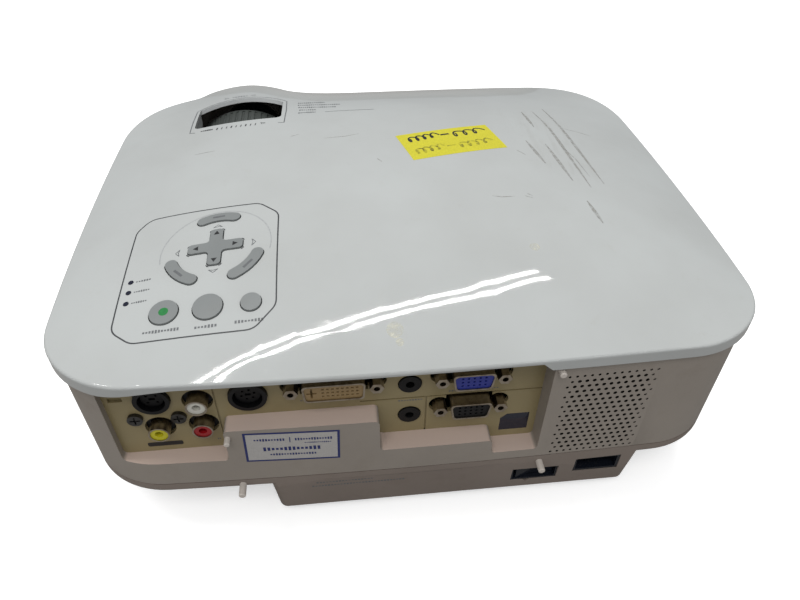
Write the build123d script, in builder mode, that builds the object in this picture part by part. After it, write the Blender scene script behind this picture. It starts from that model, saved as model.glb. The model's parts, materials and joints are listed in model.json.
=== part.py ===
from build123d import *
import math
import os

# Home projector, in millimetres. The rear, with the connectors, faces +Y and the lens faces -Y.
# Z = 0 is the surface that the three feet stand on, and X = 0, Y = 0 is the middle of the object.

# ---- Driving dimensions: outside ----
WIDTH = 294.0
REAR_Y = 128.0
FRONT_Y = -114.0
NOSE_FRONT_Y = -131.0
MID_Y = (REAR_Y + FRONT_Y) / 2
SIDE_BOW, REAR_BOW, FRONT_BOW = 4.5, 3.3, 7.5
REAR_CORNER_R, FRONT_CORNER_R = 39.0, 52.0
NOSE_R, NOSE_BLEND_R = 28.0, 12.0

BASE_Z = 6.0
CASE_LOW_Z = 26.5
SEAM_Z = 32.5
SKIRT_Z = 91.0
EDGE_Z = 96.0
CROWN_RISE = 21.0
DOME_POWER = 2.5

WALL = 2.5
OVERHANG = 2.0
RIM = 5.0
FIT = 0.3
WALL_Y = REAR_Y - OVERHANG

# ---- Driving dimensions: rear panel ----
BAY_LEFT_X, BAY_RIGHT_X = 122.0, -51.5
LEDGE_X, STEP_X, CORNER_X = 78.5, 16.8, -31.0
LEFT_FLOOR_Z, LEDGE_Z, STEP_Z, CORNER_Z = 47.3, 66.1, 47.0, 38.3
PLATE_Y = 117.0
PLATE_T = 2.0
BOARD_Y = 98.0
BOARD_T = 1.6
SCREW_FACE_Y = 122.0
DVI_X, DVI_Z, DVI_SPACING = 34.0, 81.3, 33.3
VGA_X, VGA_IN_Z, VGA_OUT_Z, VGA_SPACING = -21.0, 81.2, 63.6, 25.0
JACK_X, JACK_Z = 3.8, (77.2, 58.3)
SVIDEO_X, SVIDEO_Z, CONTROL_X, CONTROL_Z = 103.8, 79.0, 67.6, 77.6
RCA_PLACES = {
    "rca_video": (104.0, 62.5),
    "rca_audio_left": (87.0, 76.8),
    "rca_audio_right": (87.0, 62.6),
}
GRILLE_X, GRILLE_Z, GRILLE_PITCH, GRILLE_DIMPLE_Y = -76.3, 59.4, 3.04, 124.1
SWITCH_X, SWITCH_Z, SWITCH_W, SWITCH_H = -53.6, 18.2, 21.4, 9.4
INLET_X, INLET_Z, INLET_W, INLET_H = -82.2, 21.6, 21.4, 10.2
SHELL_T = 0.7
D_SOCKETS = {
    "dvi_insert": (DVI_X, DVI_Z, 24.6, 9.2, 0.6),
    "vga_in_insert": (VGA_X, VGA_IN_Z, 17.4, 9.0, 1.3),
    "vga_out_insert": (VGA_X, VGA_OUT_Z, 17.4, 9.0, 1.3),
}
JACK_SCREWS = (
    (DVI_X, DVI_Z, DVI_SPACING),
    (VGA_X, VGA_IN_Z, VGA_SPACING),
    (VGA_X, VGA_OUT_Z, VGA_SPACING),
)
BARREL_LOW_Y, BARREL_HIGH_Y = PLATE_Y - PLATE_T, 121.4
POCKET_FACE_Y, NOSE_FACE_Y = 121.6, 124.2
ROCKER_Y, ROCKER_TILT = 118.6, 7.0
PEGS = (
    (77.2, 61.9, 128.6, 1.2),
    (-54.0, 88.0, 128.4, 1.4),
    (75.7, 29.6, 131.0, 1.5),
    (-53.9, 28.6, 131.0, 1.5),
)

# ---- Driving dimensions: lens, keys, feet ----
LENS_X, LENS_Z = 80.0, 64.5
RING_R, BARREL_R, BARREL_BORE_R, MOUTH_R = 35.0, 32.0, 29.0, 23.0
RUNNING = 0.05
PAD_X, PAD_Y = 79.7, 63.0
KEY_RING_R, KEY_BAR = 19.0, 5.0
KEY_PROUD, KEY_GAP = 0.7, 0.35
KEY_BOARD_Z = 91.0
ROUND_KEYS = {
    "power_button": (97.3, 94.8, 5.6),
    "source_button": (80.4, 94.8, 5.8),
    "auto_adjust_button": (63.7, 94.8, 4.0),
}
ARC_KEYS = {"menu_button": -90.0, "enter_button": 42.0, "exit_button": 138.0}
PAD_LOW_Z, PAD_PIVOT_Z, PAD_REACH = 106.6, 104.6, 8.8
LIGHT_X, LIGHT_YS, LIGHT_R = 113.2, (75.4, 81.2, 87.1), 1.1
PLATFORM_LOW_X, PLATFORM_HIGH_X, PLATFORM_FRONT_Y = -100.8, 64.8, -98.0
PLATFORM_LEAN = 5.0
FOOT_X, FOOT_Y = 5.0, -85.0
REAR_FEET = {"rear_foot_left": (52.0, 92.0), "rear_foot_right": (-87.0, 88.0)}

LAMP_LOW_Y, LAMP_HIGH_Y, LAMP_END_X = -72.0, -14.0, -32.0
LAMP_SCREW_X, LAMP_Y = -38.0, (LAMP_LOW_Y + LAMP_HIGH_Y) / 2
LAMP_WALL_X, LAMP_TOP_Z, LAMP_AXIS_Z = PLATFORM_LOW_X + 12, 22.0, 44.0
SPLIT_Y = -88.0
GRILLE_LOW, GRILLE_HIGH = (-96.5, 110.0, 33.2), (-56.0, REAR_Y, 85.6)
FILTER_LOW_Y, FILTER_HIGH_Y, FILTER_LOW_Z, FILTER_HIGH_Z = -58.0, 18.0, 40.0, 82.0
INTAKE_AXIS_Y, EXHAUST_AXIS_X, FAN_AXIS_Z = -20.0, -76.0, 57.0
ENGINE_LOW_Z = CASE_LOW_Z + WALL
PLATE_TOP_Z = 93.4
BRACKET_X, BRACKET_Y, BRACKET_DX, BRACKET_DY = 10.0, 15.0, 60.0, 130.0
CASE_SCREWS = [(122.0, 58.0), (-122.0, 58.0), (124.0, -50.0), (-124.0, -50.0)]
PLATE_SCREWS = [(112.3, 68.9), (95.7, 68.3)]

ALONG_Y = (90, 0, 0)

os.makedirs("parts", exist_ok=True)


# ---- Helpers ----
def box(low, high, mode=Mode.ADD):
    """Box from its low corner to its high corner."""
    middle = [(a + b) / 2 for a, b in zip(low, high)]
    with Locations(Location(middle)):
        Box(*[b - a for a, b in zip(low, high)], mode=mode)


def rod_y(x, z, low_y, high_y, radius, mode=Mode.ADD):
    """Cylinder along Y."""
    with Locations(Location((x, (low_y + high_y) / 2, z), ALONG_Y)):
        Cylinder(radius, high_y - low_y, mode=mode)


def rod_z(x, y, low_z, high_z, radius, mode=Mode.ADD):
    """Upright cylinder."""
    with Locations(Location((x, y, (low_z + high_z) / 2))):
        Cylinder(radius, high_z - low_z, mode=mode)


def write(builder, name):
    """Labels a finished piece and writes its file."""
    builder.part.label = name
    export_step(builder.part, "parts/" + name + ".step")


def plan_outline(inset=0.0):
    """Plan of the case: bowed sides, rounded corners, and the round nose over the lens."""
    half_x, rear_y, front_y = WIDTH / 2 - inset, REAR_Y - inset, FRONT_Y + inset
    corner_x = half_x - SIDE_BOW
    corner_rear_y, corner_front_y = rear_y - REAR_BOW, front_y + FRONT_BOW
    with BuildSketch() as plan:
        with BuildLine():
            ThreePointArc((-corner_x, corner_rear_y), (0, rear_y), (corner_x, corner_rear_y))
            ThreePointArc((corner_x, corner_rear_y), (half_x, MID_Y), (corner_x, corner_front_y))
            ThreePointArc((corner_x, corner_front_y), (0, front_y), (-corner_x, corner_front_y))
            ThreePointArc((-corner_x, corner_front_y), (-half_x, MID_Y), (-corner_x, corner_rear_y))
        make_face()
        fillet(plan.vertices().group_by(Axis.Y)[-1], REAR_CORNER_R - inset)
        fillet(plan.vertices().group_by(Axis.Y)[0], FRONT_CORNER_R - inset)
        with Locations((LENS_X, NOSE_FRONT_Y + NOSE_R)):
            Circle(NOSE_R - inset)
        nose_feet = plan.vertices().filter_by(lambda v: v.Y < 0 and abs(v.X - LENS_X) < NOSE_R + 2)
        fillet(nose_feet, NOSE_BLEND_R + inset)
    return plan.sketch


def dome_z(x, y):
    """Height of the domed cover, which is level along its edge and swells over the lens."""
    reach = abs(x) / (WIDTH / 2)
    if y > MID_Y:
        depth = (y - MID_Y) / (REAR_Y - MID_Y)
    else:
        swell = (FRONT_Y - NOSE_FRONT_Y) * math.exp(-(((x - LENS_X) / NOSE_R) ** 2))
        depth = (MID_Y - y) / (MID_Y - FRONT_Y + swell)
    return EDGE_Z + CROWN_RISE * (1 - reach**DOME_POWER) * (1 - depth**DOME_POWER)


def dome_face(rise=0.0):
    """The dome as one smooth face, a little larger than the plan."""
    steps, margin = 36, 3.0
    low_x, span_x = -WIDTH / 2 - margin, WIDTH + 2 * margin
    low_y, span_y = NOSE_FRONT_Y - margin, REAR_Y - NOSE_FRONT_Y + 2 * margin
    rows = []
    for row in range(steps + 1):
        y = low_y + span_y * row / steps
        columns = [low_x + span_x * column / steps for column in range(steps + 1)]
        rows.append([(x, y, dome_z(x, y) + rise) for x in columns])
    return Face.make_surface_from_array_of_points(rows, tol=0.02)


def domed_block(profile, low_z, rise):
    """Upright block of the profile that ends on top at the dome, raised or lowered by rise."""
    with BuildPart() as block:
        with BuildSketch(Plane.XY.offset(low_z)):
            add(profile)
        extrude(amount=EDGE_Z + 2 * CROWN_RISE - low_z)
        split(bisect_by=dome_face(rise), keep=Keep.TOP)
    return block.part


def arc_key_profile(angle, grow=0.0):
    """Curved bar with round ends, on a circle round the select pad."""
    half_span = 21.0
    with BuildSketch() as key:
        with BuildLine(mode=Mode.PRIVATE) as middle:
            CenterArc((PAD_X, PAD_Y), KEY_RING_R, angle - half_span, 2 * half_span)
        SlotArc(middle.edge(), KEY_BAR + 2 * grow)
    return key.sketch


def round_key_profile(x, y, radius):
    """Round key."""
    with BuildSketch() as key:
        with Locations((x, y)):
            Circle(radius)
    return key.sketch


def pad_profile(grow=0.0):
    """Plus shape of the select pad, its inner corners rounded."""
    half_x, half_y, arm = 11.4, 10.6, 5.4
    with BuildSketch() as plus:
        with Locations((PAD_X, PAD_Y)):
            Rectangle(2 * half_x, arm)
            Rectangle(arm, 2 * half_y)
            inner = plus.vertices().filter_by(lambda v: abs(v.X - PAD_X) < arm and abs(v.Y - PAD_Y) < arm)
        fillet(inner, 1.8)
        fillet(plus.vertices().filter_by(lambda v: math.hypot(v.X - PAD_X, v.Y - PAD_Y) > 9), 1.6)
        if grow > 0:
            offset(amount=grow)
    return plus.sketch


def window_profile():
    """Opening over the lens rings: straight rear, arched front."""
    with BuildSketch() as window:
        with BuildLine():
            Polyline((55.5, -76.0), (55.5, -48.5), (103.0, -50.0), (103.5, -78.5))
            ThreePointArc((103.5, -78.5), (79.5, -89.5), (55.5, -76.0))
        make_face()
        fillet(window.vertices(), 3.0)
    return window.sketch


def bay_profile(grow=0.0):
    """Stepped outline of the connector bay, seen from behind, open at the top."""
    top_z = SKIRT_Z + RIM
    with BuildSketch(Plane.XZ) as bay:
        with BuildLine():
            Polyline(
                (BAY_LEFT_X, top_z),
                (BAY_LEFT_X, LEFT_FLOOR_Z),
                (LEDGE_X, LEFT_FLOOR_Z),
                (LEDGE_X, LEDGE_Z),
                (STEP_X, LEDGE_Z),
                (STEP_X, STEP_Z),
                (CORNER_X, STEP_Z),
                (CORNER_X, CORNER_Z),
                (BAY_RIGHT_X, CORNER_Z),
                (BAY_RIGHT_X, top_z),
                close=True,
            )
        make_face()
        fillet(bay.vertices(), 2.2)
        if grow > 0:
            offset(amount=grow)
    return bay.sketch


# ---- Shapes that several pieces share ----
outer_block = domed_block(plan_outline(), SKIRT_Z, 0.0)
inner_block = domed_block(plan_outline(RIM), SKIRT_Z - 1, -WALL)
key_profiles = {name: arc_key_profile(angle) for name, angle in ARC_KEYS.items()}
key_holes = [arc_key_profile(angle, KEY_GAP) for angle in ARC_KEYS.values()]
for key_name, (key_x, key_y, key_r) in ROUND_KEYS.items():
    key_profiles[key_name] = round_key_profile(key_x, key_y, key_r)
    key_holes.append(round_key_profile(key_x, key_y, key_r + KEY_GAP))
key_holes.append(pad_profile(KEY_GAP))
key_tops = {name: domed_block(profile, KEY_BOARD_Z + 3, KEY_PROUD) for name, profile in key_profiles.items()}
pad_top = domed_block(pad_profile(), KEY_BOARD_Z + 6, KEY_PROUD)
light_profiles = [round_key_profile(LIGHT_X, y, LIGHT_R) for y in LIGHT_YS]
light_tops = [domed_block(profile, KEY_BOARD_Z + BOARD_T, 0.15) for profile in light_profiles]

# ---- Top cover ----
with BuildPart() as top_cover:
    add(outer_block)
    edge_face = top_cover.faces().sort_by(Axis.Z)[-1]
    fillet(edge_face.edges(), 1.2)
    add(inner_block, mode=Mode.SUBTRACT)
    # The skirt is cut up over the connector bay, with a ramp at one end and a step at the other.
    with BuildSketch(Plane.XZ.offset(-REAR_Y - 2)):
        with BuildLine():
            Polyline(
                (119.0, 80.0),
                (119.0, SKIRT_Z),
                (92.0, 93.9),
                (-45.5, 94.6),
                (-51.5, 89.0),
                (-51.5, 80.0),
                close=True,
            )
        make_face()
    extrude(amount=12.0, mode=Mode.SUBTRACT)
    # Rib beside the lens window, which screens the rings from the side.
    with BuildSketch() as rib:
        with Locations((105.0, -64.0)):
            Rectangle(2.4, 30.0)
    add(domed_block(rib.sketch, 95.5, -1.0))
    with BuildSketch(Plane.XY.offset(SKIRT_Z)):
        add(key_holes)
        add(window_profile())
        with Locations([(LIGHT_X, y) for y in LIGHT_YS]):
            Circle(LIGHT_R + 0.05)
    extrude(amount=CROWN_RISE + 10, mode=Mode.SUBTRACT)
write(top_cover, "top_cover")

# ---- Belt of the case: rear part and front part ----
# Shallow groove round the belt where it stands on the bottom case.
with BuildPart() as seam:
    with BuildSketch(Plane.XY.offset(SEAM_Z)):
        add(plan_outline(OVERHANG - 1))
        add(plan_outline(OVERHANG + 0.9), mode=Mode.SUBTRACT)
    extrude(amount=0.6)
seam_groove = seam.part

with BuildPart() as middle_case:
    with BuildSketch(Plane.XY.offset(SEAM_Z)):
        add(plan_outline(OVERHANG))
        add(plan_outline(OVERHANG + WALL), mode=Mode.SUBTRACT)
        with Locations((0, NOSE_FRONT_Y)):
            Rectangle(2 * WIDTH, 2 * (SPLIT_Y - NOSE_FRONT_Y), mode=Mode.SUBTRACT)
    extrude(amount=SKIRT_Z - SEAM_Z)
    # Floor, step and end walls of the connector bay.
    with BuildSketch(Plane.XZ.offset(-PLATE_Y)):
        add(bay_profile(WALL))
        with Locations((0, SKIRT_Z + 10)):
            Rectangle(2 * WIDTH, 20.0, mode=Mode.SUBTRACT)
    extrude(amount=-(REAR_Y - PLATE_Y + 5))
    with BuildSketch(Plane.XY.offset(SEAM_Z)):
        add(plan_outline(OVERHANG))
    extrude(amount=SKIRT_Z - SEAM_Z, mode=Mode.INTERSECT)
    with BuildSketch(Plane.XZ.offset(-PLATE_Y + 1)):
        add(bay_profile())
    extrude(amount=-(REAR_Y - PLATE_Y + 5), mode=Mode.SUBTRACT)
    # Opening for the loudspeaker grille.
    box(GRILLE_LOW, GRILLE_HIGH, mode=Mode.SUBTRACT)
    # Opening for the filter cover on the +X side, and the cooling slots opposite it.
    box((130.0, FILTER_LOW_Y, FILTER_LOW_Z), (150.0, FILTER_HIGH_Y, FILTER_HIGH_Z), mode=Mode.SUBTRACT)
    with Locations([Location((-WIDTH / 2, 40.0, z)) for z in (46.0, 52.0, 58.0, 64.0, 70.0, 76.0)]):
        Box(20.0, 62.0, 2.6, mode=Mode.SUBTRACT)
    # Security slot.
    box((-WIDTH / 2 - 10, 76.5, 38.5), (-WIDTH / 2 + 10, 83.5, 41.5), mode=Mode.SUBTRACT)
    add(seam_groove, mode=Mode.SUBTRACT)
write(middle_case, "middle_case")

with BuildPart() as speaker_grille:
    with BuildSketch(Plane.XY.offset(GRILLE_LOW[2])):
        add(plan_outline(OVERHANG))
        add(plan_outline(OVERHANG + WALL), mode=Mode.SUBTRACT)
        with Locations(((GRILLE_LOW[0] + GRILLE_HIGH[0]) / 2, REAR_Y)):
            Rectangle(GRILLE_HIGH[0] - GRILLE_LOW[0], 20.0, mode=Mode.INTERSECT)
    extrude(amount=GRILLE_HIGH[2] - GRILLE_LOW[2])
    # Two interleaved grids of holes, each row staggered against the next, with blind ones round the edge.
    with BuildSketch(Plane.XZ.offset(-REAR_Y)):
        with Locations((GRILLE_X, GRILLE_Z)):
            with GridLocations(GRILLE_PITCH, 2 * GRILLE_PITCH, 11, 7):
                Circle(0.8)
            with GridLocations(GRILLE_PITCH, 2 * GRILLE_PITCH, 10, 8):
                Circle(0.8)
    extrude(amount=10.0, mode=Mode.SUBTRACT)
    with BuildSketch(Plane.XZ.offset(-REAR_Y)):
        with Locations((GRILLE_X, GRILLE_Z)):
            with GridLocations(GRILLE_PITCH, 2 * GRILLE_PITCH, 13, 9):
                Circle(0.6)
            with GridLocations(GRILLE_PITCH, 2 * GRILLE_PITCH, 12, 8):
                Circle(0.6)
    extrude(amount=REAR_Y - GRILLE_DIMPLE_Y, mode=Mode.SUBTRACT)
write(speaker_grille, "speaker_grille")

with BuildPart() as front_panel:
    with BuildSketch(Plane.XY.offset(SEAM_Z)):
        add(plan_outline(OVERHANG))
        add(plan_outline(OVERHANG + WALL), mode=Mode.SUBTRACT)
        with Locations((0, REAR_Y)):
            Rectangle(2 * WIDTH, 2 * (REAR_Y - SPLIT_Y), mode=Mode.SUBTRACT)
    extrude(amount=SKIRT_Z - SEAM_Z)
    rod_y(LENS_X, LENS_Z, -140.0, -106.0, MOUTH_R, mode=Mode.SUBTRACT)
    # Upright slots for the warm air, and the window of the front remote receiver.
    with Locations([Location((x, FRONT_Y, 62.0)) for x in range(-112, -38, 6)]):
        Box(3.0, 40.0, 40.0, mode=Mode.SUBTRACT)
    box((16.0, -130.0, 54.0), (30.0, -100.0, 66.0), mode=Mode.SUBTRACT)
    add(seam_groove, mode=Mode.SUBTRACT)
write(front_panel, "front_panel")

# ---- Bottom case with its platform ----
def platform_block(inset, low_z, high_z):
    """Platform under the case: a rectangle that narrows towards its bottom on every side."""
    low_x, high_x = PLATFORM_LOW_X + inset, PLATFORM_HIGH_X - inset
    front_y, rear_y = PLATFORM_FRONT_Y + inset, WALL_Y - inset
    with BuildPart() as block:
        with BuildSketch(Plane.XY.offset(high_z)):
            with Locations(((low_x + high_x) / 2, (front_y + rear_y) / 2)):
                Rectangle(high_x - low_x, rear_y - front_y)
        extrude(amount=-(high_z - low_z), taper=PLATFORM_LEAN)
        sloping_edges = block.edges().filter_by(Axis.Z, reverse=True).filter_by(Plane.XY, reverse=True)
        fillet(sloping_edges, 4.0 - inset)
    return block.part


platform_outer = platform_block(0.0, BASE_Z, SEAM_Z)
platform_inner = platform_block(WALL + 0.1, BASE_Z + WALL, SEAM_Z)
with BuildPart() as bottom_case:
    with BuildSketch(Plane.XY.offset(CASE_LOW_Z)):
        add(plan_outline(OVERHANG))
    extrude(amount=SEAM_Z - CASE_LOW_Z)
    fillet(bottom_case.faces().sort_by(Axis.Z)[0].edges(), 3.0)
    add(platform_outer)
    fillet(bottom_case.faces().sort_by(Axis.Z)[0].edges(), 2.0)
    with BuildSketch(Plane.XY.offset(BASE_Z)):
        add(plan_outline(OVERHANG))
    extrude(amount=SEAM_Z - BASE_Z, mode=Mode.INTERSECT)
    with BuildSketch(Plane.XY.offset(CASE_LOW_Z + WALL)):
        add(plan_outline(OVERHANG + WALL))
    extrude(amount=SEAM_Z - CASE_LOW_Z, mode=Mode.SUBTRACT)
    add(platform_inner, mode=Mode.SUBTRACT)
    # Openings in the rear face of the platform for the mains switch and inlet.
    with BuildSketch(Plane.XZ.offset(-REAR_Y)):
        with Locations((SWITCH_X, SWITCH_Z)):
            Rectangle(SWITCH_W, SWITCH_H)
        with Locations((SWITCH_X + 3.2, SWITCH_Z - SWITCH_H / 2)):
            RegularPolygon(2.1, 4)
        with Locations((INLET_X, INLET_Z)):
            Rectangle(INLET_W, INLET_H)
    extrude(amount=13.0, mode=Mode.SUBTRACT)
    # Lamp door opening, through the bottom and the -X side of the platform.
    lamp_corner = (PLATFORM_LOW_X - 2, LAMP_LOW_Y, BASE_Z - 1)
    box(lamp_corner, (LAMP_END_X, LAMP_HIGH_Y, BASE_Z + WALL), mode=Mode.SUBTRACT)
    box(lamp_corner, (LAMP_WALL_X, LAMP_HIGH_Y, LAMP_TOP_Z), mode=Mode.SUBTRACT)
    # Holes for the feet, with a slotted bracket that guides the stem of the front foot.
    rod_z(FOOT_X, FOOT_Y, 0.0, 12.0, 6.3, mode=Mode.SUBTRACT)
    box((FOOT_X - 14, FOOT_Y - 9, BASE_Z + WALL), (FOOT_X - 11.5, FOOT_Y + 9, 27.0))
    box((FOOT_X + 11.5, FOOT_Y - 9, BASE_Z + WALL), (FOOT_X + 14, FOOT_Y + 9, 27.0))
    box((FOOT_X - 14, FOOT_Y - 9, 24.5), (FOOT_X + 14, FOOT_Y + 9, 27.0))
    rod_z(FOOT_X, FOOT_Y, 20.0, 30.0, 6.3, mode=Mode.SUBTRACT)
    box((FOOT_X - 8.3, -110.0, 13.2), (FOOT_X + 8.3, -90.0, 18.8), mode=Mode.SUBTRACT)
    for foot_x, foot_y in REAR_FEET.values():
        rod_z(foot_x, foot_y, BASE_Z + WALL, 24.0, 6.0)
        rod_z(foot_x, foot_y, 0.0, 26.0, 3.3, mode=Mode.SUBTRACT)
    # Four bosses with threaded holes for a ceiling bracket.
    with Locations(Location((BRACKET_X, BRACKET_Y, 14.0))):
        with GridLocations(BRACKET_DX, BRACKET_DY, 2, 2):
            Cylinder(5.0, 2 * (14.0 - BASE_Z - WALL))
    with Locations(Location((BRACKET_X, BRACKET_Y, BASE_Z + 4.0))):
        with GridLocations(BRACKET_DX, BRACKET_DY, 2, 2):
            Cylinder(1.65, 12.0, mode=Mode.SUBTRACT)
    # Forked nut plate for the lamp door screw, its slot open towards the side that the door leaves by.
    box((LAMP_END_X, LAMP_Y - 6, BASE_Z + WALL), (LAMP_END_X + 4, LAMP_Y + 6, 11.0))
    box((LAMP_SCREW_X - 7, LAMP_Y - 6, BASE_Z + WALL + FIT), (LAMP_END_X + 4, LAMP_Y + 6, 11.0))
    box((LAMP_SCREW_X - 8, LAMP_Y - 1.8, 8.0), (LAMP_SCREW_X + 1.8, LAMP_Y + 1.8, 12.0), mode=Mode.SUBTRACT)
    with Locations([Location((x, y, CASE_LOW_Z)) for x, y in CASE_SCREWS]):
        Cylinder(1.6, 8.0, mode=Mode.SUBTRACT)
write(bottom_case, "bottom_case")

with BuildPart() as lamp_cover:
    add(platform_outer)
    fillet(lamp_cover.faces().sort_by(Axis.Z)[0].edges(), 2.0)
    add(platform_inner, mode=Mode.SUBTRACT)
    with BuildSketch(Plane.XZ.offset(-LAMP_LOW_Y - FIT)):
        with BuildLine():
            Polyline(
                (PLATFORM_LOW_X - 5, BASE_Z - 1),
                (LAMP_END_X - FIT, BASE_Z - 1),
                (LAMP_END_X - FIT, BASE_Z + WALL),
                (LAMP_WALL_X - FIT, BASE_Z + WALL),
                (LAMP_WALL_X - FIT, LAMP_TOP_Z - FIT),
                (PLATFORM_LOW_X - 5, LAMP_TOP_Z - FIT),
                close=True,
            )
        make_face()
    extrude(amount=-(LAMP_HIGH_Y - LAMP_LOW_Y - 2 * FIT), mode=Mode.INTERSECT)
    rod_z(LAMP_SCREW_X, LAMP_Y, 0.0, 7.6, 3.1, mode=Mode.SUBTRACT)
    rod_z(LAMP_SCREW_X, LAMP_Y, 0.0, 10.0, 1.6, mode=Mode.SUBTRACT)
    # Finger grooves that show which way the door slides.
    with Locations([Location((x, LAMP_Y, BASE_Z)) for x in (-84.0, -80.0, -76.0)]):
        Box(1.6, 24.0, 1.2, mode=Mode.SUBTRACT)
write(lamp_cover, "lamp_cover")

with BuildPart() as lamp_cover_screw:
    rod_z(LAMP_SCREW_X, LAMP_Y, 6.2, 7.6, 2.9)
    rod_z(LAMP_SCREW_X, LAMP_Y, 7.6, 11.6, 1.5)
    box((LAMP_SCREW_X - 2.2, LAMP_Y - 0.4, 6.0), (LAMP_SCREW_X + 2.2, LAMP_Y + 0.4, 6.9), mode=Mode.SUBTRACT)
    box((LAMP_SCREW_X - 0.4, LAMP_Y - 2.2, 6.0), (LAMP_SCREW_X + 0.4, LAMP_Y + 2.2, 6.9), mode=Mode.SUBTRACT)
write(lamp_cover_screw, "lamp_cover_screw")

# ---- Air intake on the +X side ----
with BuildPart() as filter_cover:
    with BuildSketch(Plane.XY.offset(FILTER_LOW_Z + FIT)):
        add(plan_outline(OVERHANG))
        add(plan_outline(OVERHANG + WALL), mode=Mode.SUBTRACT)
        with Locations((WIDTH / 2, (FILTER_LOW_Y + FILTER_HIGH_Y) / 2)):
            Rectangle(20.0, FILTER_HIGH_Y - FILTER_LOW_Y - 2 * FIT, mode=Mode.INTERSECT)
    extrude(amount=FILTER_HIGH_Z - FILTER_LOW_Z - 2 * FIT)
    with Locations([Location((WIDTH / 2 - 3, -20.0, FILTER_LOW_Z + 5.5 + 4.5 * row)) for row in range(8)]):
        Box(20.0, 62.0, 2.4, mode=Mode.SUBTRACT)
write(filter_cover, "filter_cover")

with BuildPart() as air_filter:
    box((134.5, -54.0, 44.0), (140.5, 14.0, 79.0))
    fillet(air_filter.edges().filter_by(Axis.X), 3.0)
write(air_filter, "air_filter")


def fan_frame(middle):
    """Square fan frame about an X axis, with three struts and a motor seat."""
    side, depth, bore = 56.0, 14.0, 26.0
    with BuildPart() as frame:
        Box(depth, side, side)
        fillet(frame.edges().filter_by(Axis.X), 4.0)
        with Locations(Location((0, 0, 0), (0, 90, 0))):
            Cylinder(bore, depth + 2, mode=Mode.SUBTRACT)
        with Locations(Location((-depth / 2 + 1, 0, 0), (0, 90, 0))):
            Cylinder(8.5, 2.0)
        for turn in range(3):
            strut = Location((-depth / 2 + 1, 0, 0), (120 * turn, 0, 0))
            with Locations(strut * Location((0, 0, bore / 2 + 1))):
                Box(2.0, 3.0, bore + 2)
    return frame.part.moved(middle)


def fan_rotor(middle):
    """Hub and seven slanted blades about an X axis."""
    hub_r, tip_r, blades = 9.0, 24.8, 7
    with BuildPart() as rotor:
        with Locations(Location((1.3, 0, 0), (0, 90, 0))):
            Cylinder(hub_r, 10.0)
        for turn in range(blades):
            reach = tip_r - hub_r + 2
            spoke = Location((1.3, 0, 0), (360 / blades * turn, 0, 0))
            with Locations(spoke * Location((0, 0, hub_r - 2 + reach / 2), (0, 0, 55))):
                Box(1.2, 10.5, reach)
    return rotor.part.moved(middle)


intake_place = Location((126.0, INTAKE_AXIS_Y, FAN_AXIS_Z))
exhaust_place = Location((EXHAUST_AXIS_X, -97.0, FAN_AXIS_Z), (0, 0, -90))
with BuildPart() as fan_frames:
    add(fan_frame(intake_place))
    add(fan_frame(exhaust_place))
write(fan_frames, "fan_frames")
for rotor_name, rotor_place in {"intake_fan_rotor": intake_place, "exhaust_fan_rotor": exhaust_place}.items():
    with BuildPart() as rotor:
        add(fan_rotor(rotor_place))
    write(rotor, rotor_name)

# ---- Keys on the cover, their board and lights ----
for key_name, key_top in key_tops.items():
    with BuildPart() as key:
        add(key_top)
        with BuildSketch(Plane.XY.offset(KEY_BOARD_Z + 3)):
            if key_name in ARC_KEYS:
                add(arc_key_profile(ARC_KEYS[key_name], 1.0))
            else:
                add(round_key_profile(*ROUND_KEYS[key_name][:2], ROUND_KEYS[key_name][2] + 1.0))
        extrude(amount=1.5)
    write(key, key_name)

with BuildPart() as select_pad:
    add(pad_top)
    with BuildSketch(Plane.XY.offset(KEY_BOARD_Z)):
        Rectangle(2 * WIDTH, 2 * WIDTH)
    extrude(amount=PAD_LOW_Z - KEY_BOARD_Z, mode=Mode.SUBTRACT)
    with Locations(Location((PAD_X, PAD_Y, (PAD_LOW_Z + 95.2) / 2))):
        with PolarLocations(PAD_REACH, 4):
            Cylinder(1.2, PAD_LOW_Z - 94.2)
    # Two lugs that hang on the pins of the cross.
    for side in (-1, 1):
        with Locations(Location((PAD_X, PAD_Y + 4.6 * side, (PAD_LOW_Z + 103.4) / 2))):
            Box(5.0, 1.6, PAD_LOW_Z - 102.4)
    rod_y(PAD_X, PAD_PIVOT_Z, PAD_Y - 6, PAD_Y + 6, 1.5 + RUNNING, mode=Mode.SUBTRACT)
write(select_pad, "select_pad")

# Cross with four pins: two turn in the yoke on the key board, two carry the select pad.
with BuildPart() as pad_pivot:
    with Locations(Location((PAD_X, PAD_Y, PAD_PIVOT_Z))):
        Box(6.6, 6.6, 3.0)
    rod_y(PAD_X, PAD_PIVOT_Z, PAD_Y - 5.6, PAD_Y + 5.6, 1.5)
    with Locations(Location((PAD_X, PAD_Y, PAD_PIVOT_Z), (0, 90, 0))):
        Cylinder(1.5, 11.2)
write(pad_pivot, "pad_pivot")

with BuildPart() as status_lights:
    add(light_tops)
write(status_lights, "status_lights")

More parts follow.
